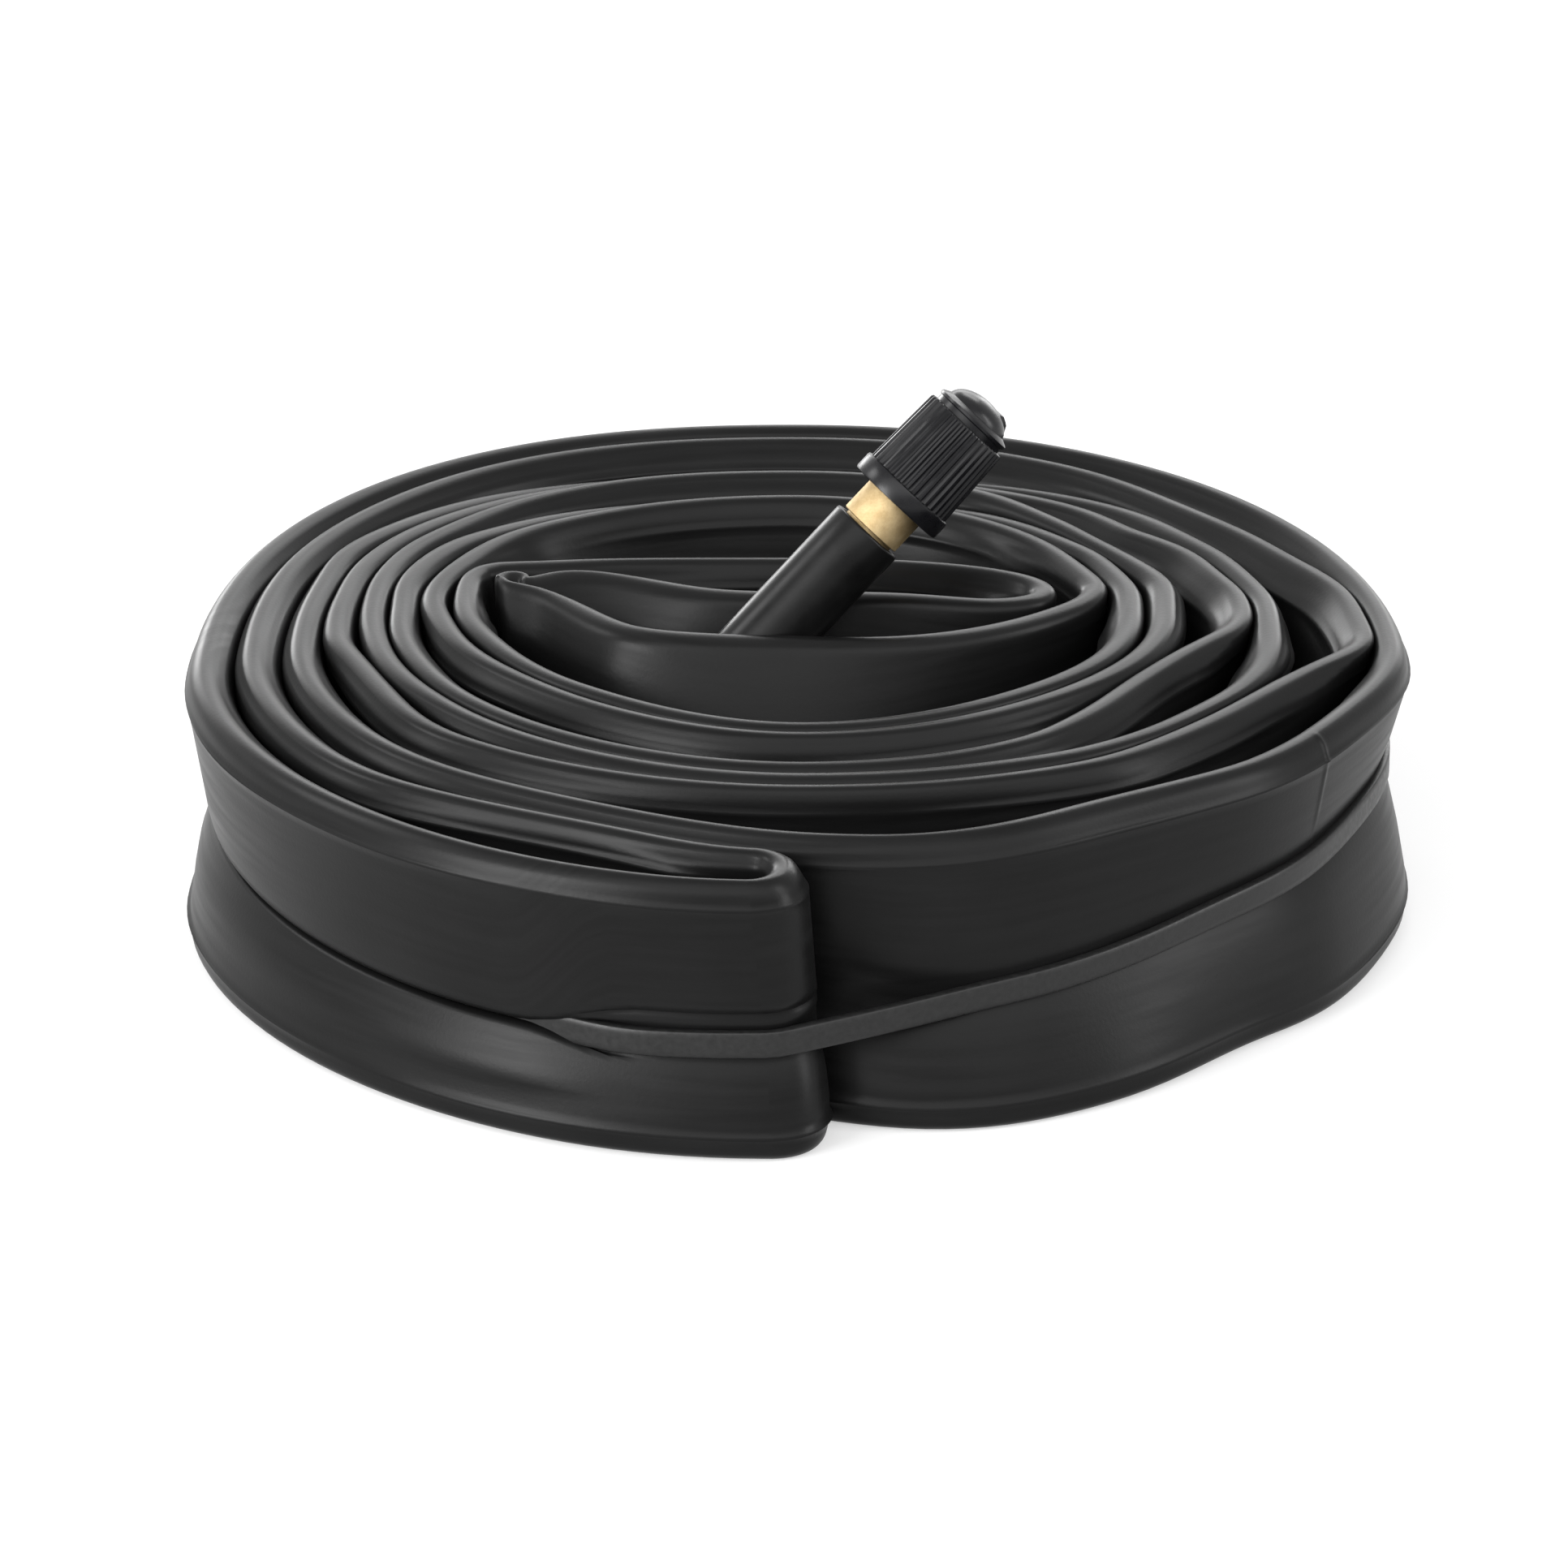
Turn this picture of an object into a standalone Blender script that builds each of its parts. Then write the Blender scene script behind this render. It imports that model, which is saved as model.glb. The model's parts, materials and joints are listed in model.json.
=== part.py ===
"""A bicycle inner tube, flattened and rolled up for the shelf.

The tube is one closed ring. It is pressed flat, laid double and rolled up on edge from its inner end, so two strands
run round side by side and meet in a fold at each end. The valve stands out of the middle of the roll, and a rubber
band holds the roll together. Lengths are in metres and Z is up. The roll stands on Z = 0, with its box centred on the
Z axis.
"""

import math

import bmesh
import bpy
import numpy as np
from mathutils import Matrix, Vector

MM = 0.001
INCH = 25.4 * MM

# Tube, flattened and standing on edge
FLAT_WIDTH = 29.0 * MM
WALL = 0.9 * MM
CAVITY = 0.4 * MM
STRIP = 2 * WALL + CAVITY
EDGE_ROUND = 0.8 * MM
EDGE_LAND = 0.9 * MM
STANDING_LAND = 1.8 * MM

# Roll: how far it reaches on each side, and the gaps from strand to strand there, counted from the outside in
FRONT, LEFT, BACK, RIGHT = range(4)
REACH = {FRONT: 60.3 * MM, LEFT: 61.0 * MM, BACK: 60.7 * MM, RIGHT: 61.8 * MM}
GAPS_MM = {
    FRONT: (5.3, 0.6, 9.8, 0.6, 0.6, 6.0, 0.7, 9.2, 17.6),
    LEFT: (2.4, 2.5, 0.8, 1.6, 0.7, 1.0, 0.9, 1.7, 0.7),
    BACK: (0.6, 0.6, 0.6, 3.2, 0.6, 2.1, 15.4),
    RIGHT: (0.7, 7.4, 0.8, 5.6, 0.6, 1.3, 2.4),
}
QUARTER_TURNS = 17
OUTER_STRAND, INNER_STRAND = 0, 1
CENTRE_START = -7.6 * MM
CENTRE_PER_TURN = 5.2 * MM
FOLD_START = -3.5 * MM
BEND_SOFTENING = 1.6 * MM

# How square each quarter turn is: 2 is a quarter of an ellipse, less is pointed and more is boxy
SQUARENESS = {FRONT: 1.85, LEFT: 2.3, BACK: 2.1, RIGHT: 2.05}
SQUARENESS_AT = {
    (OUTER_STRAND, 13): 2.05,
    (OUTER_STRAND, 14): 1.9,
    (OUTER_STRAND, 15): 1.3,
    (OUTER_STRAND, 16): 2.0,
    (INNER_STRAND, 13): 4.3,
    (INNER_STRAND, 14): 2.2,
    (INNER_STRAND, 15): 3.0,
    (INNER_STRAND, 16): 1.6,
}

# Kinks where the inner strand turns sharply on the right, and places where a strand leans over
KINK_QUARTERS = (3, 7)
KINK_REACH = 6.0 * MM
KINK_BEFORE = 0.45
KINK_AFTER = 0.13
LEANS = (
    {"quarter": 16.0, "half_span": 1.0, "shift": 8.0 * MM},
    {"quarter": 3.7, "half_span": 0.25, "shift": 2.2 * MM},
)

# Stations along the tube
STEP = 0.5 * MM
LONGEST_STEP = 14.0 * MM
TURN_PER_STEP = 0.36
VALVE_STEP = 4.0 * MM

# Rubber band and the waist that it draws in
BAND_WIDTH = 3.0 * MM
BAND_THICKNESS = 1.0 * MM
BAND_HEIGHT = 13.5 * MM
BAND_SLOPE = Vector((0.035, 0.02))
BAND_GAP = 0.8 * MM
BAND_STEP = 6.0 * MM
WAIST = 2.0 * MM

# Valve stem: where its axis crosses the top of the roll, and how it leans
STEM_CROSSING = Vector((-0.7 * MM, 5.0 * MM))
STEM_TILT = math.radians(46.2)
STEM_HEADING = math.radians(18.6)
JACKET_RADIUS = 4.0 * MM
JACKET_TOP = 11.9 * MM
JACKET_DEPTH = 14.5 * MM
INSERT_RADIUS = 2.9 * MM
JACKET_FIT = 0.2 * MM
JACKET_BORE = INSERT_RADIUS + JACKET_FIT
NECK_RADIUS = 3.42 * MM
MOUTH = 25.5 * MM
AIR_BORE = 1.5 * MM
FIT_GAP = 0.3 * MM

# Foot that joins the valve to the tube
FOOT_LENGTH = 26.0 * MM
FOOT_WIDTH = 16.0 * MM
FOOT_DOME = 6.5 * MM
FOOT_RIM = 0.7 * MM

# Cap thread on the stem, and core thread in its mouth
THREAD_CLEARANCE = 0.15 * MM
CAP_PITCH = INCH / 32
CAP_THREAD_ROOT = 3.35 * MM
CAP_THREAD_DEPTH = 0.4 * MM
CAP_THREAD_CREST = CAP_THREAD_ROOT + CAP_THREAD_DEPTH
CAP_THREAD_BOTTOM = MOUTH - 6.2 * MM
CAP_THREAD_TURNS = 6
CORE_PITCH = INCH / 36
CORE_THREAD_ROOT = 2.15 * MM
CORE_THREAD_DEPTH = 0.35 * MM
CORE_THREAD_CREST = CORE_THREAD_ROOT + CORE_THREAD_DEPTH
CORE_THREAD_TURNS = 3
FLAT_SHARE = 0.25
THREAD_RELIEF = 0.05 * MM

# Dust cap, set by the stem's mouth
CAP_BOTTOM = MOUTH - 9.6 * MM
CAP_WALL = 1.3 * MM
CAP_BODY_RADIUS = CAP_THREAD_CREST + CAP_WALL
CAP_FLANGE_LIP = 0.35 * MM
CAP_FLANGE_RADIUS = CAP_BODY_RADIUS + CAP_FLANGE_LIP
CAP_FLANGE_TOP = CAP_BOTTOM + 2.0 * MM
CAP_TAPER = 0.3 * MM
CAP_BODY_TOP_RADIUS = CAP_BODY_RADIUS - CAP_TAPER
CAP_BODY_TOP = MOUTH + 1.1 * MM
CAP_RIBS = 28
CAP_RIB_DEPTH = 0.3 * MM
CAP_GROOVE_DEPTH = 0.6 * MM
CAP_GROOVE_RADIUS = CAP_BODY_TOP_RADIUS - CAP_GROOVE_DEPTH
CAP_GROOVE_TOP = MOUTH + 1.7 * MM
CAP_DISC_LIP = 0.2 * MM
CAP_DISC_RADIUS = CAP_GROOVE_RADIUS + CAP_DISC_LIP
CAP_DISC_TOP = MOUTH + 2.2 * MM
CAP_TIP = MOUTH + 4.4 * MM
CAP_ENGAGED_TURNS = 7
CHAMFER = 0.3 * MM
SEAL_THICKNESS = 1.0 * MM
SEAL_BORE = 2.75 * MM
CAP_CEILING = MOUTH + SEAL_THICKNESS + 2 * FIT_GAP
CAP_POCKET_RADIUS = 2.7 * MM
CAP_POCKET_TOP = CAP_CEILING + 1.2 * MM

# Valve core, measured down from the stem's mouth
PIN_TIP = MOUTH - 0.3 * MM
PIN_RADIUS = 0.5 * MM
PIN_COLLAR_RADIUS = 0.95 * MM
PIN_COLLAR_BOTTOM = MOUTH - 6.3 * MM
PIN_COLLAR_TOP = MOUTH - 5.9 * MM
PIN_HEAD_RADIUS = 0.9 * MM
PIN_HEAD_BOTTOM = MOUTH - 16.9 * MM
PIN_HEAD_TOP = MOUTH - 16.4 * MM
PLUG_TOP = MOUTH - 0.9 * MM
PLUG_HEAD_BOTTOM = MOUTH - 2.3 * MM
PLUG_THREAD_BOTTOM = MOUTH - 4.6 * MM
PLUG_BOTTOM = MOUTH - 4.9 * MM
PLUG_BLADE = 1.9 * MM
PLUG_BORE = 0.8 * MM
BARREL_TOP = MOUTH - 5.2 * MM
BARREL_BOTTOM = MOUTH - 13.5 * MM
BARREL_LIP_TOP = MOUTH - 12.9 * MM
BARREL_RADIUS = 1.6 * MM
BARREL_BORE = 1.15 * MM
BARREL_LIP_BORE = 0.75 * MM
GASKET_TOP = MOUTH - 6.9 * MM
GASKET_BOTTOM = MOUTH - 8.7 * MM
GASKET_TOP_RADIUS = 2.15 * MM
GASKET_BOTTOM_RADIUS = 1.95 * MM
GASKET_GAP = 0.1 * MM
SEAT_GAP = 0.15 * MM
CHAMBER_RADIUS = 2.0 * MM
CHAMBER_BOTTOM = MOUTH - 19.5 * MM
CUP_TOP = MOUTH - 13.9 * MM
CUP_BOTTOM = MOUTH - 16.1 * MM
CUP_RADIUS = 1.6 * MM
CUP_WALL = 0.35 * MM
CUP_SEAL_HEIGHT = 0.8 * MM
SPRING_RADIUS = 0.84 * MM
SPRING_WIRE = 0.26 * MM
SPRING_COILS = 8
SPRING_POINTS = 12
SPRING_GAP = 0.1 * MM

TURNED_SEGMENTS = 24


def material(name, colour, roughness, metallic=0.0):
    made = bpy.data.materials.new(name)
    made.use_nodes = True
    shader = made.node_tree.nodes["Principled BSDF"]
    shader.inputs["Base Color"].default_value = (*colour, 1.0)
    shader.inputs["Roughness"].default_value = roughness
    shader.inputs["Metallic"].default_value = metallic
    return made


def add_object(name, points, faces, surface, parent=None, turn_outward=True):
    mesh = bpy.data.meshes.new(name)
    mesh.from_pydata([tuple(point) for point in points], [], faces)
    if turn_outward:
        shell = bmesh.new()
        shell.from_mesh(mesh)
        bmesh.ops.recalc_face_normals(shell, faces=shell.faces)
        shell.to_mesh(mesh)
        shell.free()
    obj = bpy.data.objects.new(name, mesh)
    bpy.context.scene.collection.objects.link(obj)
    obj.parent = parent
    if surface:
        mesh.materials.append(surface)
    return obj


def add_cutter(target, name, points, faces, parent=None):
    cutter = add_object(name, points, faces, None, parent)
    cutter.hide_render = True
    cutter.display_type = "WIRE"
    cut = target.modifiers.new(name, "BOOLEAN")
    cut.operation = "DIFFERENCE"
    cut.solver = "EXACT"
    cut.object = cutter
    return cutter


def turned(profile, segments=TURNED_SEGMENTS):
    """Points and faces of a profile of (radius, height) turned round Z. A profile that leaves the axis out is closed."""
    points = []
    rings = []
    for radius, height in profile:
        count = segments if radius > 0 else 1
        rings.append(range(len(points), len(points) + count))
        for k in range(count):
            angle = 2 * math.pi * k / segments
            points.append((radius * math.cos(angle), radius * math.sin(angle), height))
    pairs = list(zip(rings, rings[1:]))
    if profile[0][0] > 0:
        pairs.append((rings[-1], rings[0]))
    faces = []
    for low, high in pairs:
        for k in range(segments):
            corners = [low[k % len(low)], low[(k + 1) % len(low)], high[(k + 1) % len(high)], high[k % len(high)]]
            faces.append(tuple(dict.fromkeys(corners)))
    return points, faces


def threaded(below, above, root, crest, pitch, turns, start, segments=TURNED_SEGMENTS):
    """A solid rod with a helical thread. Its profile below and above the thread starts and ends on the axis."""
    points = []
    faces = []

    def ring(radius, height):
        made = []
        for k in range(segments if radius > 0 else 1):
            angle = 2 * math.pi * k / segments
            made.append(len(points))
            points.append((radius * math.cos(angle), radius * math.sin(angle), height))
        return made

    def join(low, high):
        for k in range(segments):
            corners = [low[k % len(low)], low[(k + 1) % len(low)], high[(k + 1) % len(high)], high[k % len(high)]]
            faces.append(tuple(dict.fromkeys(corners)))

    def corner(step, radius, share):
        angle = 2 * math.pi * step / segments
        points.append((radius * math.cos(angle), radius * math.sin(angle), start + pitch * (step / segments + share)))
        return len(points) - 1

    lower = [ring(*place) for place in below]
    upper = [ring(*place) for place in above]
    for rings in (lower, upper):
        for low, high in zip(rings, rings[1:]):
            join(low, high)
    steps = turns * segments
    valley = [corner(k, root, 0) for k in range(steps + segments + 1)]
    rise = [corner(k, root, FLAT_SHARE) for k in range(steps + 1)]
    ridge = [corner(k, crest, 2 * FLAT_SHARE) for k in range(steps + 1)]
    fall = [corner(k, crest, 3 * FLAT_SHARE) for k in range(steps + 1)]
    for k in range(steps):
        for low, high in ((valley, rise), (rise, ridge), (ridge, fall)):
            faces.append((low[k], low[k + 1], high[k + 1], high[k]))
        faces.append((fall[k], fall[k + 1], valley[k + 1 + segments], valley[k + segments]))
    base, lid = lower[-1], upper[0]
    for k in range(segments - 1):
        faces.append((base[k], base[k + 1], valley[k + 1], valley[k]))
    faces.append((base[-1], base[0], valley[0], rise[0], valley[segments], valley[segments - 1]))
    faces.append((rise[0], ridge[0], fall[0], valley[segments]))
    for k in range(1, segments):
        faces.append((valley[steps + k], valley[steps + k + 1], lid[(k + 1) % segments], lid[k]))
    faces.append((valley[steps], valley[steps + 1], lid[1], lid[0], valley[steps + segments], rise[steps]))
    faces.append((rise[steps], ridge[steps], fall[steps], valley[steps + segments]))
    return points, faces


def strand_distance(side, count):
    """How far the middle of a strand is from the roll's axis on one side, with strands counted from the outside in."""
    return REACH[side] - STRIP / 2 - sum(GAPS_MM[side][:count]) * MM - count * STRIP


def compass_point(quarter, strand):
    """Where a strand passes the front, left, back or right of the roll, after this many quarter turns."""
    side = quarter % 4
    distance = strand_distance(side, 2 * (quarter // 4) + strand)
    centre = CENTRE_START + CENTRE_PER_TURN * quarter / 4
    if side == FRONT:
        return np.array([0.0 if quarter else FOLD_START, -distance])
    if side == BACK:
        return np.array([0.0, distance])
    return np.array([-distance if side == LEFT else distance, centre])


def quarter_turn(quarter, strand, count=60):
    """Rows of x, y and quarter turns along one quarter of a strand, which is a quarter of a superellipse."""
    start = compass_point(quarter, strand)
    end = compass_point(quarter + 1, strand)
    share = np.linspace(0, 1, count, endpoint=False)
    kink = np.zeros(count)
    if strand == INNER_STRAND and quarter in KINK_QUARTERS:
        start[0] -= KINK_REACH
        kink = KINK_REACH * np.exp(-((share / KINK_AFTER) ** 2))
    if strand == INNER_STRAND and quarter + 1 in KINK_QUARTERS:
        end[0] -= KINK_REACH
        kink = KINK_REACH * np.exp(-(((share - 1) / KINK_BEFORE) ** 2))
    power = 2 / SQUARENESS_AT.get((strand, quarter), SQUARENESS[quarter % 4])
    going = np.cos(share * math.pi / 2) ** power
    coming = np.sin(share * math.pi / 2) ** power
    if quarter % 4 in (FRONT, BACK):
        x = start[0] + (end[0] - start[0]) * coming
        y = end[1] + (start[1] - end[1]) * going
    else:
        x = end[0] + (start[0] - end[0]) * going
        y = start[1] + (end[1] - start[1]) * coming
    return np.stack([x + kink, y, quarter + share], axis=1)


def lengths_along(rows):
    return np.r_[0, np.cumsum(np.linalg.norm(np.diff(rows[:, :2], axis=0), axis=1))]


def at_lengths(rows, where):
    along = lengths_along(rows)
    return np.stack([np.interp(where, along, column) for column in rows.T], axis=1)


def strand_route(strand):
    """One strand from the outer fold to the inner one, evenly stepped and with its corners softened."""
    last = np.r_[compass_point(QUARTER_TURNS, strand), QUARTER_TURNS]
    rows = np.vstack([quarter_turn(quarter, strand) for quarter in range(QUARTER_TURNS)] + [last[None]])
    total = lengths_along(rows)[-1]
    rows = at_lengths(rows, np.linspace(0, total, round(total / STEP) + 1))
    reach = round(4 * BEND_SOFTENING / STEP)
    weights = np.exp(-0.5 * (np.arange(-reach, reach + 1) * STEP / BEND_SOFTENING) ** 2)
    weights /= weights.sum()
    before = 2 * rows[0] - rows[reach:0:-1]
    after = 2 * rows[-1] - rows[-2 : -reach - 2 : -1]
    padded = np.vstack([before, rows, after])
    return np.stack([np.convolve(column, weights, "valid") for column in padded.T], axis=1)


def fold(start, end, towards, count=16):
    """The half circle of a fold, from the end of one strand to the end of the other."""
    centre = (start[:2] + end[:2]) / 2
    arm = start[:2] - centre
    out = np.array(towards) * np.linalg.norm(arm)
    angle = np.linspace(0, math.pi, count + 1)[1:-1, None]
    xy = centre + np.cos(angle) * arm + np.sin(angle) * out
    return np.c_[xy, np.full(len(xy), start[2])]


def tube_route():
    """The closed route of the tube's middle in plan: rows of x, y, quarter turns and lean."""
    outer = strand_route(OUTER_STRAND)
    inner = strand_route(INNER_STRAND)
    lean = np.zeros(len(outer))
    for place in LEANS:
        share = np.clip((outer[:, 2] - place["quarter"]) / place["half_span"], -1, 1)
        lean += place["shift"] * np.cos(share * math.pi / 2) ** 2
    inner_fold = fold(outer[-1], inner[-1], (0, 1))
    outer_fold = fold(inner[0], outer[0], (1, 0))
    rest = np.vstack([inner_fold, inner[::-1], outer_fold])
    rows = np.vstack([np.c_[outer, lean], np.c_[rest, np.zeros(len(rest))]])
    shift = (rows[:, :2].min(axis=0) + rows[:, :2].max(axis=0)) / 2
    rows[:, :2] -= shift
    return rows, len(outer), shift


def with_normals(rows):
    """Adds the normal at each row, which points to the inside of the ring, where the rim would be."""
    tangent = np.roll(rows[:, :2], -1, axis=0) - np.roll(rows[:, :2], 1, axis=0)
    tangent /= np.linalg.norm(tangent, axis=1)[:, None]
    return np.c_[rows, tangent[:, 1], -tangent[:, 0]]


def choose_stations(route, outer_count, valve_quarter):
    """Places along the route for the tube's sections: closer together where it bends and at the valve."""
    closed = np.vstack([route, route[:1]])
    along = lengths_along(closed)
    heading = np.unwrap(np.arctan2(closed[:, 5], closed[:, 4]))
    bend = np.abs(np.gradient(heading, along))
    near_valve = (np.abs(closed[:, 2] - valve_quarter) < 0.45) & (np.arange(len(closed)) < outer_count)
    per_metre = np.hypot(1 / LONGEST_STEP, bend / TURN_PER_STEP) + near_valve / VALVE_STEP
    measure = np.r_[0, np.cumsum((per_metre[1:] + per_metre[:-1]) / 2 * np.diff(along))]
    count = math.ceil(measure[-1])
    where = np.interp(np.arange(count) * measure[-1] / count, measure, along)
    rows = at_lengths(closed, where)
    rows[:, 4:6] /= np.linalg.norm(rows[:, 4:6], axis=1)[:, None]
    return rows


def band_height(xy):
    return BAND_HEIGHT + BAND_SLOPE[0] * xy[0] + BAND_SLOPE[1] * xy[1]


def tube_point(row, offset, height):
    """A point of the tube's section, offset towards the rim side, leant over and drawn in at the waist."""
    middle = band_height(row[:2])
    if height < middle:
        drawn = height / middle
    else:
        drawn = max(0.0, (FLAT_WIDTH - EDGE_ROUND - height) / (FLAT_WIDTH - EDGE_ROUND - middle))
    xy = row[:2] + row[4:6] * (offset + row[3] * (2 * height / FLAT_WIDTH - 1))
    return np.r_[xy * (1 - drawn * WAIST / REACH[FRONT]), height]


def section(row, half_widths):
    """One closed section: up the tread side and down the rim side."""
    tread = [tube_point(row, -half, height) for half, height in half_widths]
    rim = [tube_point(row, half, height) for half, height in reversed(half_widths)]
    return tread + rim


def least_gap(stations):
    """The least gap between two strands, on the points of the tube's middle."""
    xy = stations[:, :2]
    along = np.r_[0, np.cumsum(np.linalg.norm(np.diff(np.vstack([xy, xy[:1]]), axis=0), axis=1))]
    apart = np.abs(along[:-1, None] - along[None, :-1])
    apart = np.minimum(apart, along[-1] - apart)
    distance = np.linalg.norm(xy[:, None] - xy[None], axis=2)
    return distance[apart > 8 * MM].min() - STRIP


def make_tube(stations, surface):
    points = []
    faces = []
    count = len(stations)
    for row in stations:
        middle = band_height(row[:2])
        outside = [
            (STANDING_LAND / 2, 0.0),
            (STRIP / 2, middle),
            (STRIP / 2, FLAT_WIDTH - EDGE_ROUND),
            (EDGE_LAND / 2, FLAT_WIDTH),
        ]
        inside = [(CAVITY / 2, WALL), (CAVITY / 2, middle), (CAVITY / 2, FLAT_WIDTH - EDGE_ROUND - WALL)]
        points += section(row, outside) + section(row, inside)
    skin = 2 * len(outside)
    lining = 2 * len(inside)
    for i in range(count):
        here = i * (skin + lining)
        after = (i + 1) % count * (skin + lining)
        for j in range(skin):
            k = (j + 1) % skin
            faces.append((here + j, here + k, after + k, after + j))
        for j in range(lining):
            k = (j + 1) % lining
            faces.append((here + skin + j, after + skin + j, after + skin + k, here + skin + k))
    return add_object("inner_tube", points, faces, surface, turn_outward=False)


def convex_outline(xy):
    """The corners of the tight loop round some points in plan, anticlockwise."""
    ordered = sorted(map(tuple, xy))
    halves = []
    for run in (ordered, ordered[::-1]):
        chain = []
        for point in run:
            while len(chain) > 1 and (Vector(chain[-1]) - Vector(chain[-2])).cross(Vector(point) - Vector(chain[-1])) <= 0:
                chain.pop()
            chain.append(point)
        halves.append(chain[:-1])
    return np.array(halves[0] + halves[1])


def make_band(stations, surface):
    """The band lies tight round the waist, so it crosses the step at the outer fold in a straight line."""
    waist = np.array([tube_point(row, -STRIP / 2, band_height(row[:2]))[:2] for row in stations])
    outline = convex_outline(waist)
    outline = np.vstack([outline, outline[:1]])
    total = lengths_along(outline)[-1]
    rows = at_lengths(outline, np.linspace(0, total, round(total / BAND_STEP), endpoint=False))
    rows = with_normals(np.c_[rows, np.zeros((len(rows), 2))])
    points = []
    faces = []
    for row in rows:
        middle = band_height(row[:2])
        near = row[:2] + row[4:6] * BAND_GAP
        far = row[:2] + row[4:6] * (BAND_GAP + BAND_THICKNESS)
        for xy, height in ((near, -1), (near, 1), (far, 1), (far, -1)):
            points.append((*xy, middle + height * BAND_WIDTH / 2))
    for i in range(len(rows)):
        here, after = 4 * i, 4 * ((i + 1) % len(rows))
        for j in range(4):
            k = (j + 1) % 4
            faces.append((here + j, here + k, after + k, after + j))
    return add_object("rubber_band", points, faces, surface)


def make_foot(route, root_row, root_height, surface):
    """A domed rubber pad that follows the tube's rim-side wall, with a closed underside just off the wall."""
    along = lengths_along(route)
    rounds, spokes = 5, 20
    points = []
    faces = []

    def wall_point(distance, height, offset):
        row = at_lengths(route, [along[root_row] + distance])[0]
        row[4:6] /= np.linalg.norm(row[4:6])
        return tube_point(row, STRIP / 2 + FIT_GAP + offset, height)

    for top in (False, True):
        points.append(wall_point(0, root_height, FOOT_RIM + FOOT_DOME if top else 0))
        for i in range(1, rounds + 1):
            share = i / rounds
            lift = FOOT_RIM + FOOT_DOME * math.cos(share * math.pi / 2) ** 1.5 if top else 0
            for k in range(spokes):
                angle = 2 * math.pi * k / spokes
                distance = share * FOOT_LENGTH / 2 * math.cos(angle)
                height = root_height + share * FOOT_WIDTH / 2 * math.sin(angle)
                points.append(wall_point(distance, height, lift))
    layer = 1 + rounds * spokes
    for top in (0, 1):
        for k in range(spokes):
            n = (k + 1) % spokes
            faces.append((top * layer, top * layer + 1 + k, top * layer + 1 + n))
            for i in range(1, rounds):
                low = top * layer + 1 + (i - 1) * spokes
                faces.append((low + k, low + spokes + k, low + spokes + n, low + n))
    edge = 1 + (rounds - 1) * spokes
    for k in range(spokes):
        n = (k + 1) % spokes
        faces.append((edge + k, edge + n, layer + edge + n, layer + edge + k))
    return add_object("valve_foot", points, faces, surface)


def cylinder_between(start, end, radius, segments=16):
    """Points and faces of a plain cylinder from one point to another."""
    axis = Vector(end) - Vector(start)
    points, faces = turned([(0, 0), (radius, 0), (radius, axis.length), (0, axis.length)], segments)
    place = Matrix.Translation(start) @ axis.to_track_quat("Z", "X").to_matrix().to_4x4()
    return [place @ Vector(point) for point in points], faces


def make_spring(parent, surface):
    low = BARREL_LIP_TOP + SPRING_GAP + SPRING_WIRE / 2
    high = PIN_COLLAR_BOTTOM - SPRING_GAP - SPRING_WIRE / 2
    count = SPRING_COILS * SPRING_POINTS
    curve = bpy.data.curves.new("core_spring", "CURVE")
    curve.dimensions = "3D"
    curve.bevel_depth = SPRING_WIRE / 2
    curve.bevel_resolution = 0
    curve.use_fill_caps = True
    spline = curve.splines.new("POLY")
    spline.points.add(count)
    for k in range(count + 1):
        angle = 2 * math.pi * k / SPRING_POINTS
        height = low + (high - low) * k / count
        spline.points[k].co = (SPRING_RADIUS * math.cos(angle), SPRING_RADIUS * math.sin(angle), height, 1.0)
    curve.materials.append(surface)
    spring = bpy.data.objects.new("core_spring", curve)
    bpy.context.scene.collection.objects.link(spring)
    spring.parent = parent
    return spring


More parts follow.
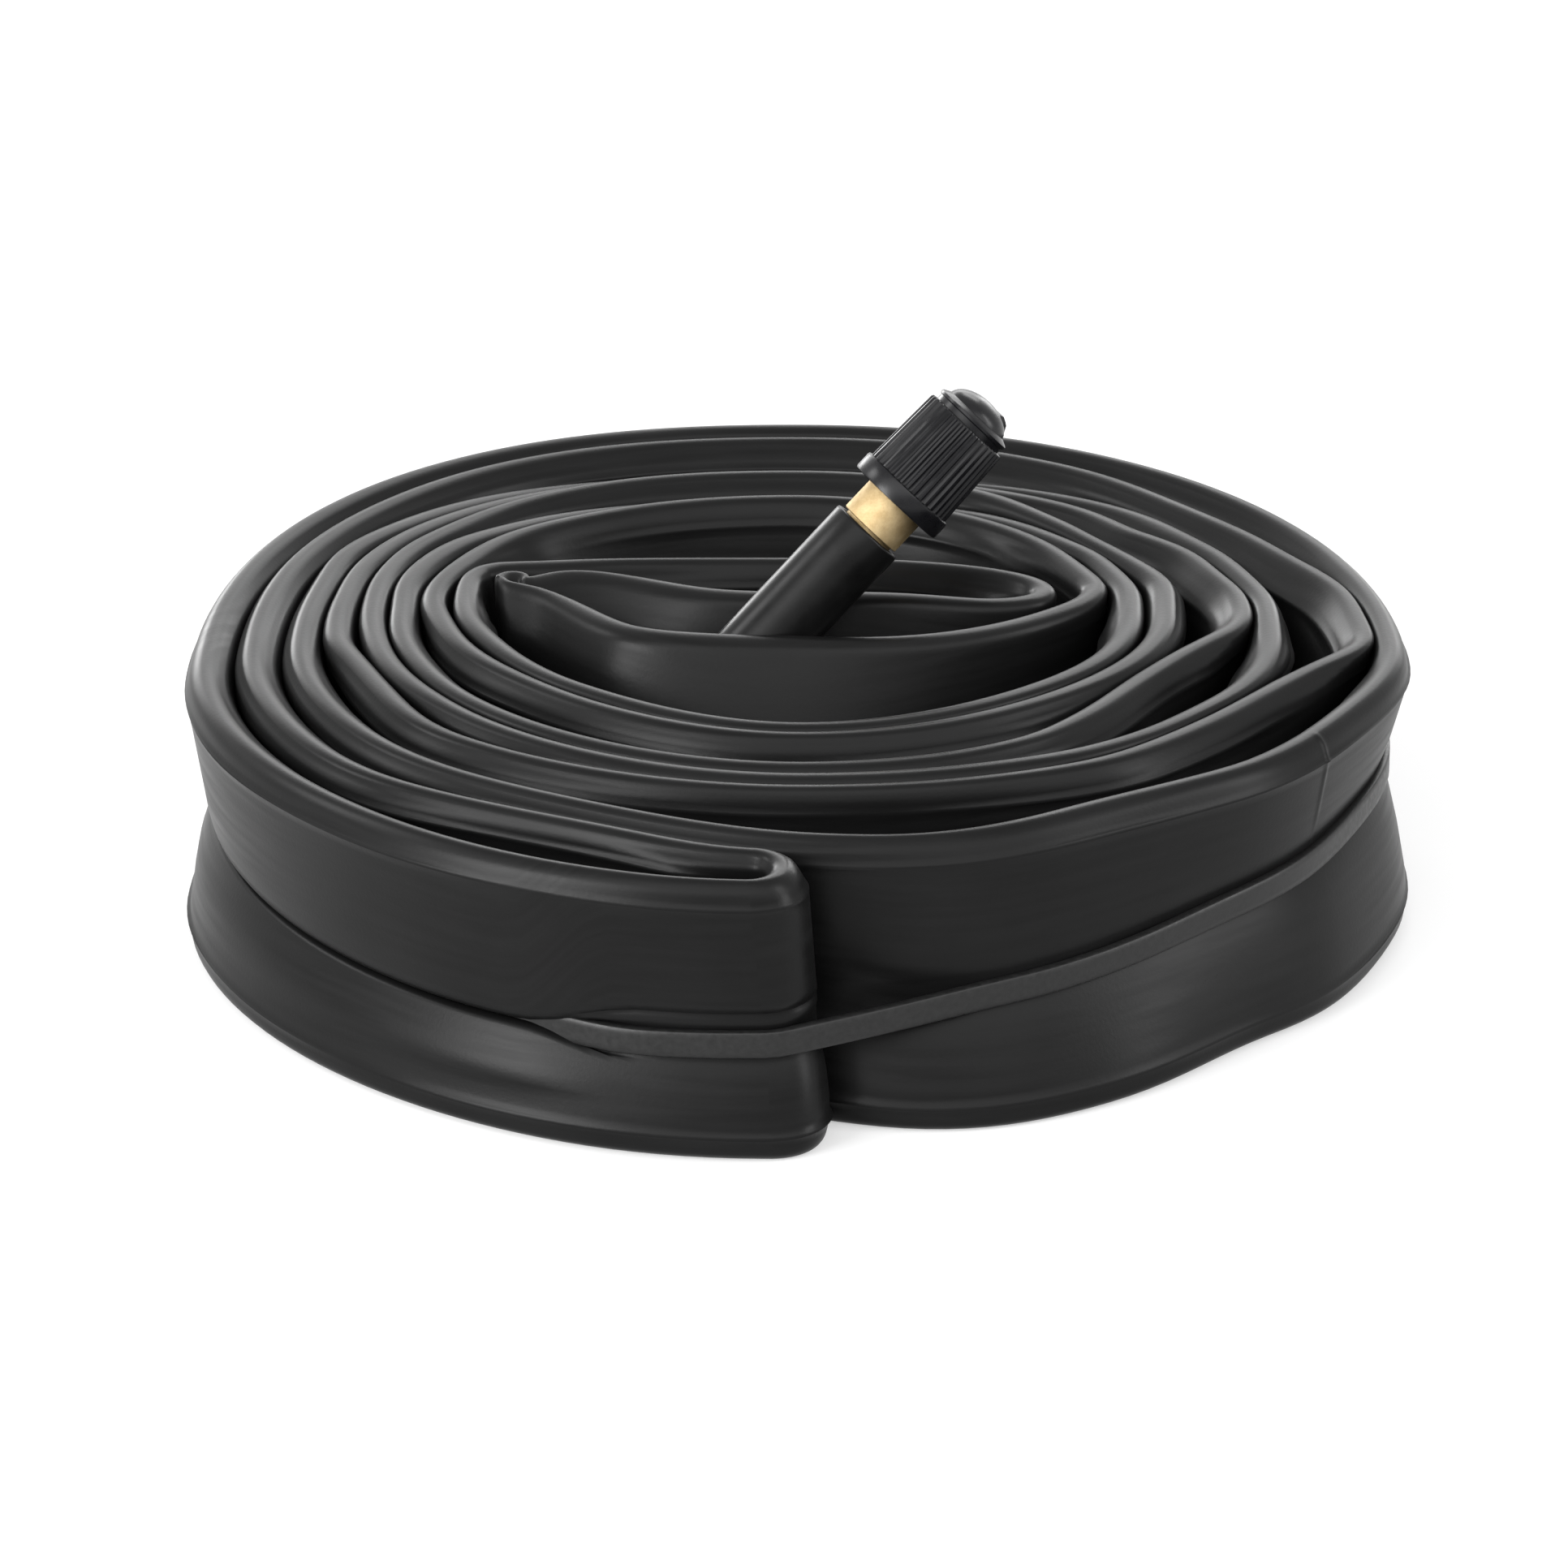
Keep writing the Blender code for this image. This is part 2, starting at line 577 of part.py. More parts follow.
def make_stem(parent, surface):
    """The brass insert: thin inside the rubber, then a bare neck, then the thread for the cap."""
    step = JACKET_TOP + FIT_GAP
    thread_end = CAP_THREAD_BOTTOM + (CAP_THREAD_TURNS + 1) * CAP_PITCH
    below = [
        (0, -JACKET_DEPTH),
        (INSERT_RADIUS, -JACKET_DEPTH),
        (INSERT_RADIUS, step),
        (NECK_RADIUS, step),
        (NECK_RADIUS, CAP_THREAD_BOTTOM - CHAMFER),
        (CAP_THREAD_ROOT, CAP_THREAD_BOTTOM - CHAMFER / 2),
    ]
    above = [
        (CAP_THREAD_ROOT, thread_end + CHAMFER / 2),
        (CAP_THREAD_ROOT, MOUTH - CHAMFER),
        (CAP_THREAD_ROOT - CHAMFER, MOUTH),
        (0, MOUTH),
    ]
    points, faces = threaded(
        below, above, CAP_THREAD_ROOT, CAP_THREAD_CREST, CAP_PITCH, CAP_THREAD_TURNS, CAP_THREAD_BOTTOM
    )
    stem = add_object("stem_insert", points, faces, surface, parent)
    root = CORE_THREAD_ROOT + THREAD_CLEARANCE
    crest = CORE_THREAD_CREST + THREAD_CLEARANCE
    start = PLUG_THREAD_BOTTOM - CORE_PITCH
    turns = CORE_THREAD_TURNS + 2
    bore = [
        (0, -JACKET_DEPTH - WALL),
        (AIR_BORE, -JACKET_DEPTH - WALL),
        (AIR_BORE, CHAMBER_BOTTOM),
        (CHAMBER_RADIUS, CHAMBER_BOTTOM + CHAMFER),
        (CHAMBER_RADIUS, GASKET_BOTTOM - SEAT_GAP),
        (GASKET_BOTTOM_RADIUS + SEAT_GAP, GASKET_BOTTOM),
        (GASKET_TOP_RADIUS + SEAT_GAP, GASKET_TOP),
        (root, GASKET_TOP + CHAMFER),
        (root, start - CHAMFER / 2),
    ]
    mouth = [
        (root, start + (turns + 1) * CORE_PITCH + CHAMFER / 2),
        (crest, start + (turns + 1) * CORE_PITCH + CHAMFER),
        (crest, MOUTH + WALL),
        (0, MOUTH + WALL),
    ]
    add_cutter(stem, "stem_bore", *threaded(bore, mouth, root, crest, CORE_PITCH, turns, start), parent)
    relief = crest + THREAD_RELIEF
    bottom = start + turns * CORE_PITCH
    mouth_relief = [(0, bottom), (relief, bottom), (relief, MOUTH + WALL), (0, MOUTH + WALL)]
    add_cutter(stem, "mouth_relief", *turned(mouth_relief), parent)
    return stem


def make_cap(parent, surface):
    """The dust cap: a ribbed skirt on a flange, a groove, and a domed end."""
    count = 2 * CAP_RIBS
    rows = [
        (CAP_FLANGE_RADIUS - CHAMFER, CAP_BOTTOM, 0),
        (CAP_FLANGE_RADIUS, CAP_BOTTOM + CHAMFER, 0),
        (CAP_FLANGE_RADIUS, CAP_FLANGE_TOP - CHAMFER, 0),
        (CAP_BODY_RADIUS, CAP_FLANGE_TOP, CAP_RIB_DEPTH),
        (CAP_BODY_TOP_RADIUS, CAP_BODY_TOP, CAP_RIB_DEPTH),
        (CAP_GROOVE_RADIUS, CAP_BODY_TOP, 0),
        (CAP_GROOVE_RADIUS, CAP_GROOVE_TOP, 0),
        (CAP_DISC_RADIUS, CAP_GROOVE_TOP, 0),
        (CAP_DISC_RADIUS, CAP_DISC_TOP, 0),
    ]
    for share in (0.35, 0.7):
        angle = share * math.pi / 2
        height = CAP_DISC_TOP + (CAP_TIP - CAP_DISC_TOP) * math.sin(angle)
        rows.append((CAP_DISC_RADIUS * math.cos(angle), height, 0))
    points = []
    for radius, height, depth in rows:
        for k in range(count):
            angle = 2 * math.pi * k / count
            size = radius - depth * (k % 2)
            points.append((size * math.cos(angle), size * math.sin(angle), height))
    points += [(0, 0, CAP_BOTTOM), (0, 0, CAP_TIP)]
    bottom, tip = len(points) - 2, len(points) - 1
    faces = []
    for i in range(len(rows) - 1):
        for k in range(count):
            n = (k + 1) % count
            faces.append((i * count + k, i * count + n, (i + 1) * count + n, (i + 1) * count + k))
    last = (len(rows) - 1) * count
    for k in range(count):
        n = (k + 1) % count
        faces.append((bottom, n, k))
        faces.append((tip, last + k, last + n))
    cap = add_object("dust_cap", points, faces, surface, parent)
    root = CAP_THREAD_ROOT + THREAD_CLEARANCE
    crest = CAP_THREAD_CREST + THREAD_CLEARANCE
    start = CAP_THREAD_BOTTOM
    skirt = [
        (0, CAP_BOTTOM - WALL),
        (crest, CAP_BOTTOM - WALL),
        (crest, start - CHAMFER),
        (root, start - CHAMFER / 2),
    ]
    room = [
        (root, start + (CAP_ENGAGED_TURNS + 1) * CAP_PITCH + CHAMFER / 2),
        (root, CAP_CEILING),
        (CAP_POCKET_RADIUS, CAP_CEILING),
        (CAP_POCKET_RADIUS, CAP_POCKET_TOP),
        (0, CAP_POCKET_TOP),
    ]
    add_cutter(cap, "cap_hollow", *threaded(skirt, room, root, crest, CAP_PITCH, CAP_ENGAGED_TURNS, start), parent)
    relief = crest + THREAD_RELIEF
    top = start + CAP_PITCH
    skirt_relief = [(0, CAP_BOTTOM - WALL), (relief, CAP_BOTTOM - WALL), (relief, top), (0, top)]
    add_cutter(cap, "skirt_relief", *turned(skirt_relief), parent)
    return cap


def make_plug(parent, surface):
    """The screw that holds the core in: a threaded body under a flat blade that a valve key turns."""
    thread_end = PLUG_THREAD_BOTTOM + (CORE_THREAD_TURNS + 1) * CORE_PITCH
    below = [
        (0, PLUG_BOTTOM),
        (CORE_THREAD_ROOT, PLUG_BOTTOM),
        (CORE_THREAD_ROOT, PLUG_THREAD_BOTTOM - CHAMFER / 2),
    ]
    above = [(CORE_THREAD_ROOT, thread_end + CHAMFER / 2), (CORE_THREAD_ROOT, PLUG_TOP), (0, PLUG_TOP)]
    points, faces = threaded(
        below, above, CORE_THREAD_ROOT, CORE_THREAD_CREST, CORE_PITCH, CORE_THREAD_TURNS, PLUG_THREAD_BOTTOM
    )
    plug = add_object("core_plug", points, faces, surface, parent)
    clear = 2 * CORE_THREAD_CREST
    cuts, cut_faces = turned([(0, PLUG_BOTTOM - WALL), (PLUG_BORE, PLUG_BOTTOM - WALL), (PLUG_BORE, MOUTH), (0, MOUTH)])
    for side in (-1, 1):
        first = len(cuts)
        for x in (PLUG_BLADE / 2, clear):
            for y in (-clear, clear):
                for z in (PLUG_HEAD_BOTTOM, MOUTH):
                    cuts.append((side * x, y, z))
        for box in ((0, 1, 3, 2), (4, 6, 7, 5), (0, 4, 5, 1), (2, 3, 7, 6), (0, 2, 6, 4), (1, 5, 7, 3)):
            cut_faces.append(tuple(first + corner for corner in box))
    add_cutter(plug, "plug_cuts", cuts, cut_faces, parent)
    return plug


def make_valve(axis, rubber, brass, plastic, steel, seal):
    jacket = [
        (JACKET_BORE, -JACKET_DEPTH),
        (JACKET_RADIUS, -JACKET_DEPTH),
        (JACKET_RADIUS, JACKET_TOP - CHAMFER),
        (JACKET_RADIUS - CHAMFER, JACKET_TOP),
        (JACKET_BORE, JACKET_TOP),
    ]
    add_object("stem_jacket", *turned(jacket), rubber, axis)
    make_stem(axis, brass)
    make_cap(axis, plastic)
    seal_bottom = MOUTH + FIT_GAP
    cap_seal = [
        (SEAL_BORE, seal_bottom),
        (CAP_THREAD_ROOT, seal_bottom),
        (CAP_THREAD_ROOT, seal_bottom + SEAL_THICKNESS),
        (SEAL_BORE, seal_bottom + SEAL_THICKNESS),
    ]
    add_object("cap_seal", *turned(cap_seal), seal, axis)
    make_plug(axis, brass)
    barrel = [
        (BARREL_LIP_BORE, BARREL_BOTTOM),
        (BARREL_RADIUS, BARREL_BOTTOM),
        (BARREL_RADIUS, BARREL_TOP),
        (BARREL_BORE, BARREL_TOP),
        (BARREL_BORE, BARREL_LIP_TOP),
        (BARREL_LIP_BORE, BARREL_LIP_TOP),
    ]
    add_object("core_barrel", *turned(barrel), brass, axis)
    gasket = [
        (BARREL_RADIUS + GASKET_GAP, GASKET_BOTTOM),
        (GASKET_BOTTOM_RADIUS, GASKET_BOTTOM),
        (GASKET_TOP_RADIUS, GASKET_TOP),
        (BARREL_RADIUS + GASKET_GAP, GASKET_TOP),
    ]
    add_object("core_gasket", *turned(gasket), seal, axis)
    pin = [
        (0, PIN_HEAD_BOTTOM),
        (PIN_HEAD_RADIUS, PIN_HEAD_BOTTOM),
        (PIN_HEAD_RADIUS, PIN_HEAD_TOP),
        (PIN_RADIUS, PIN_HEAD_TOP),
        (PIN_RADIUS, PIN_COLLAR_BOTTOM),
        (PIN_COLLAR_RADIUS, PIN_COLLAR_BOTTOM),
        (PIN_COLLAR_RADIUS, PIN_COLLAR_TOP),
        (PIN_RADIUS, PIN_COLLAR_TOP),
        (PIN_RADIUS, PIN_TIP - CHAMFER / 2),
        (PIN_RADIUS - CHAMFER / 2, PIN_TIP),
        (0, PIN_TIP),
    ]
    add_object("core_pin", *turned(pin), steel, axis)
    make_spring(axis, steel)
    cup_hole = PIN_RADIUS + GASKET_GAP
    cup = [
        (cup_hole, CUP_BOTTOM),
        (CUP_RADIUS, CUP_BOTTOM),
        (CUP_RADIUS, CUP_TOP - FIT_GAP),
        (CUP_RADIUS - CUP_WALL, CUP_TOP - FIT_GAP),
        (CUP_RADIUS - CUP_WALL, CUP_TOP - CUP_SEAL_HEIGHT - GASKET_GAP),
        (cup_hole, CUP_TOP - CUP_SEAL_HEIGHT - GASKET_GAP),
    ]
    add_object("core_cup", *turned(cup), brass, axis)
    cup_seal = [
        (cup_hole, CUP_TOP - CUP_SEAL_HEIGHT),
        (CUP_RADIUS - CUP_WALL - GASKET_GAP, CUP_TOP - CUP_SEAL_HEIGHT),
        (CUP_RADIUS - CUP_WALL - GASKET_GAP, CUP_TOP),
        (cup_hole, CUP_TOP),
    ]
    add_object("core_cup_seal", *turned(cup_seal), seal, axis)


def main():
    for obj in list(bpy.data.objects):
        bpy.data.objects.remove(obj)
    butyl = material("butyl rubber", (0.020, 0.020, 0.021), 0.50)
    moulded = material("moulded rubber", (0.012, 0.012, 0.012), 0.35)
    band_rubber = material("band rubber", (0.030, 0.030, 0.030), 0.55)
    brass = material("brass", (0.78, 0.55, 0.25), 0.35, 1.0)
    plastic = material("black plastic", (0.012, 0.012, 0.013), 0.40)
    steel = material("steel", (0.55, 0.55, 0.55), 0.30, 1.0)
    seal = material("seal rubber", (0.05, 0.05, 0.05), 0.60)

    route, outer_count, shift = tube_route()
    route = with_normals(route)
    crossing = Vector((STEM_CROSSING[0] - shift[0], STEM_CROSSING[1] - shift[1], FLAT_WIDTH))
    lean = Matrix.Rotation(STEM_HEADING, 4, "Z") @ Matrix.Rotation(STEM_TILT, 4, "Y")
    axis = bpy.data.objects.new("valve_axis", None)
    axis.matrix_world = Matrix.Translation(crossing) @ lean
    bpy.context.scene.collection.objects.link(axis)

    stem_end = np.array(axis.matrix_world @ Vector((0, 0, -JACKET_DEPTH)))
    near = np.flatnonzero(route[:outer_count, 2] > QUARTER_TURNS - 2)
    walls = np.array([tube_point(route[i], STRIP / 2, stem_end[2]) for i in near])
    root_row = near[np.linalg.norm(walls - stem_end, axis=1).argmin()]
    root_height = stem_end[2]

    stations = choose_stations(route, outer_count, route[root_row, 2])
    print("tube sections:", len(stations))
    print("tube length, mm:", round(lengths_along(np.vstack([route, route[:1]]))[-1] / MM))
    print("least gap between strands, mm:", round(least_gap(stations) / MM, 2))
    print("stem axis crosses the roll's top at, mm:", [round(value / MM, 4) for value in crossing])
    print("stem axis direction:", [round(value, 6) for value in lean.to_3x3().col[2]])

    tube = make_tube(stations, butyl)
    wall = Vector(tube_point(route[root_row], STRIP / 2, root_height))
    inside = Vector(tube_point(route[root_row], 0.0, root_height))
    out = (wall - inside).normalized()
    add_cutter(tube, "air_hole", *cylinder_between(inside, wall + out * WALL, AIR_BORE))

    foot = make_foot(route, root_row, root_height, moulded)
    add_cutter(foot, "foot_passage", *cylinder_between(wall - out * WALL, Vector(stem_end), AIR_BORE))
    socket = [
        (0, -JACKET_DEPTH - FIT_GAP),
        (JACKET_RADIUS + FIT_GAP, -JACKET_DEPTH - FIT_GAP),
        (JACKET_RADIUS + FIT_GAP, 0),
        (0, 0),
    ]
    add_cutter(foot, "foot_socket", *turned(socket), axis)
    make_band(stations, band_rubber)
    make_valve(axis, moulded, brass, plastic, steel, seal)


main()
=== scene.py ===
"""The looks of a rolled bicycle inner tube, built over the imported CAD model.

The tube's route, its foot and its valve repeat the part's formulas with finer sections and fuller forms. The
strands then leave the formula's route by up to 5 mm, to lie where the photograph shows them. Lengths are in
metres where nothing else is said, Z is up, and the camera looks along +Y.
"""

import json
import math

import bpy
import bmesh
import numpy as np
from mathutils import Matrix, Vector


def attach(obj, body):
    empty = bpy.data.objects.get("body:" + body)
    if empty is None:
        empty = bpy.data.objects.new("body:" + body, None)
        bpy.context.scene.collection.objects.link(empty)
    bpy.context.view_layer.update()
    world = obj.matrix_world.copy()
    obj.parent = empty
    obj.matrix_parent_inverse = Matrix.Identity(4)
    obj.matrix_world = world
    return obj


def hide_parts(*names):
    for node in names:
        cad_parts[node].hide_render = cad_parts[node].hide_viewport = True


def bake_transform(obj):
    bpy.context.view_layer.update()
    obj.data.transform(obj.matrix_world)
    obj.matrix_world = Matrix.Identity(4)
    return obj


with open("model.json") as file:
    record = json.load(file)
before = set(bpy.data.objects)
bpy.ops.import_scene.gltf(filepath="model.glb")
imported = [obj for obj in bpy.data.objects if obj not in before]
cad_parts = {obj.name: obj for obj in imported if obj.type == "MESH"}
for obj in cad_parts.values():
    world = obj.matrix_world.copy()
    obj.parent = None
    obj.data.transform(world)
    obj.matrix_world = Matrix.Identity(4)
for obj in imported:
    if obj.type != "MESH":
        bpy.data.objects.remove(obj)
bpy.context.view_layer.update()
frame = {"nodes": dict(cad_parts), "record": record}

MM = 0.001
INCH = 25.4 * MM

# Camera, which looks at the middle of the photograph's frame
CAMERA_PLACE = Vector((-0.40, -690.8, 317.3)) * MM
CAMERA_TARGET = Vector((-1.47, 0.0, 12.48)) * MM
CAMERA_LENS = 169.94
CAMERA_SENSOR = 36.0
CAMERA_NEAREST = 0.01
CAMERA_FURTHEST = 50.0

# Tube, flattened and standing on edge
FLAT_WIDTH = 29.0 * MM
STRIP = 2.2 * MM
EDGE_TIGHT = 0.9 * MM
EDGE_LOOSE = 1.7 * MM
EDGE_OUTSIDE = 1.3 * MM
SHOULDER_TOP = 1.3 * MM
SHOULDER_BOTTOM = 0.4 * MM
EDGE_PER_ROOM = 1.2
EDGE_POWER = 2.0
EDGE_POWER_BENT = 0.2
BEAD_STRAIGHT = 1.2 * MM
BEAD_BENT = 0.4 * MM
BEAD_OUTSIDE = 0.9 * MM
BULGE_MOST = 4.0 * MM
BULGE_LEAST = 0.001 * MM
BULGE_SLOPE_WIDE = 0.2
BULGE_SLOPE_TIGHT = 1.5
BULGE_ROOM = 1.8 * MM
BEND_SHARE = 0.8
LEAST_CURVE = 1.0
WALL_CLEARANCE = 0.06 * MM
SPLICE_QUARTER = 3.34
SPLICE_HEIGHT = 0.13 * MM
SPLICE_WIDTH = 0.35 * MM
SPLICE_DEPTH = 12.0 * MM

# Mould line, which is worn in waves: their size, their radians per metre and how often they take the phase
MOULD_LINE_DEPTH = 2.6 * MM
MOULD_LINE_WIDTH = 0.22 * MM
MOULD_LINE_HEIGHT = 0.30 * MM
MOULD_LINE_WEAR = 0.55
MOULD_LINE_WAVES = ((0.3, 91.0, 1), (0.25, 233.0, 2))
BOTTOM_PHASE, TOP_PHASE = 0.7, 2.9

# Depths of the section's points from an edge: round the bead, over the mould line, and on into the face
BEAD_DEPTHS = np.array([0.04, 0.14, 0.3, 0.5, 0.75, 1.05, 1.4, 1.8]) * MM
LINE_DEPTHS = MOULD_LINE_DEPTH + MOULD_LINE_WIDTH * np.array([-1, 0, 1])
FACE_DEPTHS = np.array([3.6, 4.7]) * MM
EDGE_DEPTHS = np.r_[BEAD_DEPTHS, LINE_DEPTHS, FACE_DEPTHS]

# Roll: how far it reaches on each side, and the gaps from strand to strand there, counted from the outside in
FRONT, LEFT, BACK, RIGHT = range(4)
REACH = {FRONT: 60.7 * MM, LEFT: 60.3 * MM, BACK: 60.3 * MM, RIGHT: 61.4 * MM}
GAPS_MM = {
    FRONT: (6.1, 0.6, 8.6, 0.6, 0.6, 7.2, 0.7, 9.2, 17.6),
    LEFT: (2.4, 2.5, 0.8, 1.6, 0.7, 1.0, 0.9, 0.8, 0.9),
    BACK: (0.4, 3.8, 0.4, 0.4, 2.4, 0.3, 15.4),
    RIGHT: (0.7, 7.4, 0.8, 5.6, 0.6, 1.3, 2.4),
}
QUARTER_TURNS = 17
QUARTER_STEPS = 60
OUTER_STRAND, INNER_STRAND = range(2)
CENTRE_START = -7.6 * MM
CENTRE_PER_TURN = 5.2 * MM
FOLD_START = -3.5 * MM
FOLD_STEPS = 16
FOLD_EXPOSED_FROM = 0.5
COVERED_QUARTERS = (3.9, 4.1)
BEND_SOFTENING = 1.6 * MM
STEM_CROSSING = Vector((-0.7 * MM, 5.0 * MM))

# Columns of the rows along the route, which tube_route describes
X, Y, QUARTER, LEAN, NORMAL_X, NORMAL_Y, EXPOSED, FOLD, TIP, SAG, COLUMNS = range(11)
XY = slice(X, Y + 1)
NORMAL = slice(NORMAL_X, NORMAL_Y + 1)

# How square each quarter turn is: 2 is a quarter of an ellipse, less is pointed and more is boxy. From
# LAST_QUARTERS on, each strand has its own values
SQUARENESS = {FRONT: 1.85, LEFT: 2.3, BACK: 2.1, RIGHT: 2.05}
LAST_QUARTERS = 13
LAST_SQUARENESS = {OUTER_STRAND: (2.05, 1.9, 1.3, 2.0), INNER_STRAND: (4.3, 2.2, 3.0, 1.6)}

# Kinks where the inner strand turns sharply on the right
KINK_QUARTERS = (3, 7)
KINK_REACH = 6.0 * MM
KINK_BEFORE = 0.45
KINK_AFTER = 0.13

# Places where a strand leans over or its top edge sags: the middle and half span in quarter turns, and how
# far the top shifts to the rim side or down, in mm
LEANS = {
    OUTER_STRAND: (
        (16.0, 1.0, 8.0), (16.6, 0.65, 1.2), (3.35, 0.35, 1.0), (3.7, 0.25, 2.8), (3.9, 0.2, 1.6),
    ),
    INNER_STRAND: (
        (2.75, 0.4, 1.8), (3.45, 0.45, -4.0), (6.75, 0.4, 1.8), (7.4, 0.4, -2.5), (16.1, 0.9, -5.0),
    ),
}
SAGS = {
    OUTER_STRAND: ((6.0, 0.8, 2.6),),
    INNER_STRAND: ((2.0, 0.7, 0.5), (6.0, 0.8, 1.5), (10.0, 0.8, 1.5)),
}
FOLD_LEAN = 2.7 * MM
FOLD_LEAN_PIVOT = 0.61
FOLD_LEAN_SPAN = 22.0 * MM
TIP_BEND = 4.0 * MM
TIP_BEND_DEPTH = 4.4 * MM
TIP_BEND_SPAN = 28.0 * MM

# Where the strands leave the formula's route: middle and half span in quarter turns, and the shift in x and y
# in mm
NUDGES = {
    OUTER_STRAND: (
        (3.2, 0.25, -1.5, 0.0), (3.42, 0.42, 0.0, 2.0), (3.80, 0.30, 0.0, -2.6), (3.88, 0.22, 0.0, -1.2),
        (4.3, 0.35, 0.0, 2.2), (7.0, 0.4, 0.5, 0.0), (9.0, 0.5, 0.0, 3.0), (11.0, 0.4, 0.8, 0.0),
        (12.0, 0.6, 0.0, -2.2), (12.75, 0.40, 1.2, 0.0), (13.25, 0.40, -1.8, 0.0), (15.0, 0.30, 2.8, 2.5),
        (15.5, 0.50, 0.0, -2.6), (16.72, 0.3, 0.0, 3.5), (17.0, 0.40, 0.0, -2.0),
    ),
    INNER_STRAND: (
        (0.0, 0.25, 0.0, -1.2), (0.3, 0.35, 0.0, 2.2), (1.0, 0.5, 0.0, 3.0), (2.65, 0.3, -1.8, -2.4),
        (3.0, 0.25, 0.4, 4.0), (3.3, 0.35, 0.0, 4.0), (3.45, 0.45, 2.2, -2.6), (4.82, 0.30, 1.3, 3.2),
        (6.65, 0.3, -1.6, -2.0), (7.0, 0.25, 0.6, 4.5), (7.3, 0.30, 0.0, 3.0), (7.4, 0.4, 1.4, -1.6),
        (12.0, 0.6, 0.0, -2.6), (15.5, 0.45, 0.0, -2.0), (16.1, 0.9, 0.0, -5.0), (16.6, 0.35, 0.0, 1.5),
        (17.0, 0.40, 0.0, -2.0),
    ),
}
LEAST_APART = 2.4 * MM
PUSH_STEP = 4
PUSH_ROUNDS = 16
PUSH_HEIGHTS = (0.0, 0.5, 1.0)
PUSH_SHARE = 0.5
PUSH_SMOOTHING = 3.0 * MM

# Stations along the tube
STEP = 0.5 * MM
LONGEST_STEP = 2.4 * MM
TURN_PER_STEP = 0.10
NEIGHBOUR_DISTANCE = 5.0 * MM
ROOM_LEVELS = 5
OPEN_MIDDLE_QUARTERS = (14.5, 14.8)
LEANING_QUARTERS = (15.0, 15.3)
SIDE_WINDOW = 1.5 * MM
BEAD_SMOOTHING = 4.0 * MM

# Rubber band, with the size of its waves and how many go round it, its section in shares of its thickness and
# half width, and the waist that it draws in
BAND_WIDTH = 2.7 * MM
BAND_THICKNESS = 1.0 * MM
BAND_HEIGHT = 14.5 * MM
BAND_RISE_RIGHT = 0.028
BAND_RISE_BACK = 1.6 * MM
BAND_DIP_FRONT = 0.078
BAND_DIP_EASE = 10.0 * MM
BAND_GAP = 0.06 * MM
BAND_STEP = 1.2 * MM
BAND_WAVES = ((0.12 * MM, 5), (0.07 * MM, 13))
BAND_UPPER = (
    (0.0, 0.6), (0.0, 0.9), (0.12, 1.0), (0.5, 1.0), (0.88, 1.0), (1.0, 0.92), (1.0, 0.5), (1.0, 0.0),
)
WAIST = 3.1 * MM
LOBE = 0.5 * MM
LOBE_PEAK = 0.8

# Notch that the band lies in, as it is, creased above the band and closed over it: offsets from its middle
# and depths, in mm
NOTCH_SIDE = (
    (1.6, 0.2), (1.8, 0.19), (2.0, 0.16), (2.3, 0.12), (2.7, 0.08), (3.2, 0.04), (3.8, 0.01), (4.6, 0.0),
)
OPEN_NOTCH = tuple((-offset, depth) for offset, depth in NOTCH_SIDE[::-1]) + ((0.0, 0.2),) + NOTCH_SIDE
CREASED_NOTCH = OPEN_NOTCH[:9] + (
    (1.6, 0.2), (1.75, 0.14), (2.2, 0.06), (3.1, 0.04), (3.35, 0.34), (3.5, 0.3), (3.6, -0.04), (4.6, 0.0),
)
CLOSED_NOTCH = (
    (-4.6, -0.50), (-3.2, -0.45), (-2.0, -0.28), (-0.8, -0.02), (0.1, 0.26), (-0.3, 0.38), (-1.7, 0.40),
    (-1.75, 1.5), (0.0, 1.5), (1.75, 1.5), (1.7, 0.40), (0.6, 0.36), (0.3, 0.22), (0.35, -0.15), (0.9, -0.45),
    (1.9, -0.5), (4.4, -0.35),
)
CREASE_QUARTERS = (0.35, 0.6)
CLOSED_FROM, CLOSED_TO = 0.30, 1.0
CLOSED_EASE = 0.16

# Valve: its axis comes from the frame, and heights are measured along it from the top of the roll
JACKET_RADIUS = 4.0 * MM
JACKET_TOP = 11.9 * MM
JACKET_DEPTH = 14.5 * MM
JACKET_RINGS = 8
JACKET_SEGMENTS = 96
JACKET_EDGE_DEGREES = (0, 30, 60, 90)
INSERT_RADIUS = 2.9 * MM
JACKET_BORE = 3.1 * MM
NECK_RADIUS = 3.42 * MM
MOUTH = 25.5 * MM
AIR_BORE = 1.5 * MM
FIT_GAP = 0.3 * MM
WALL = 0.9 * MM
CHAMFER = 0.3 * MM
TURNED_SEGMENTS = 72

# Foot that joins the valve to the tube, somewhere in the strand's last quarter turns
FOOT_QUARTERS = 2
FOOT_LENGTH = 26.0 * MM
FOOT_WIDTH = 16.0 * MM
FOOT_DOME = 6.5 * MM
FOOT_DOME_POWER = 1.5
FOOT_RIM = 0.7 * MM
FOOT_HOLE_GAP = 0.05 * MM
FOOT_ROUNDS = 14
FOOT_SPOKES = 72

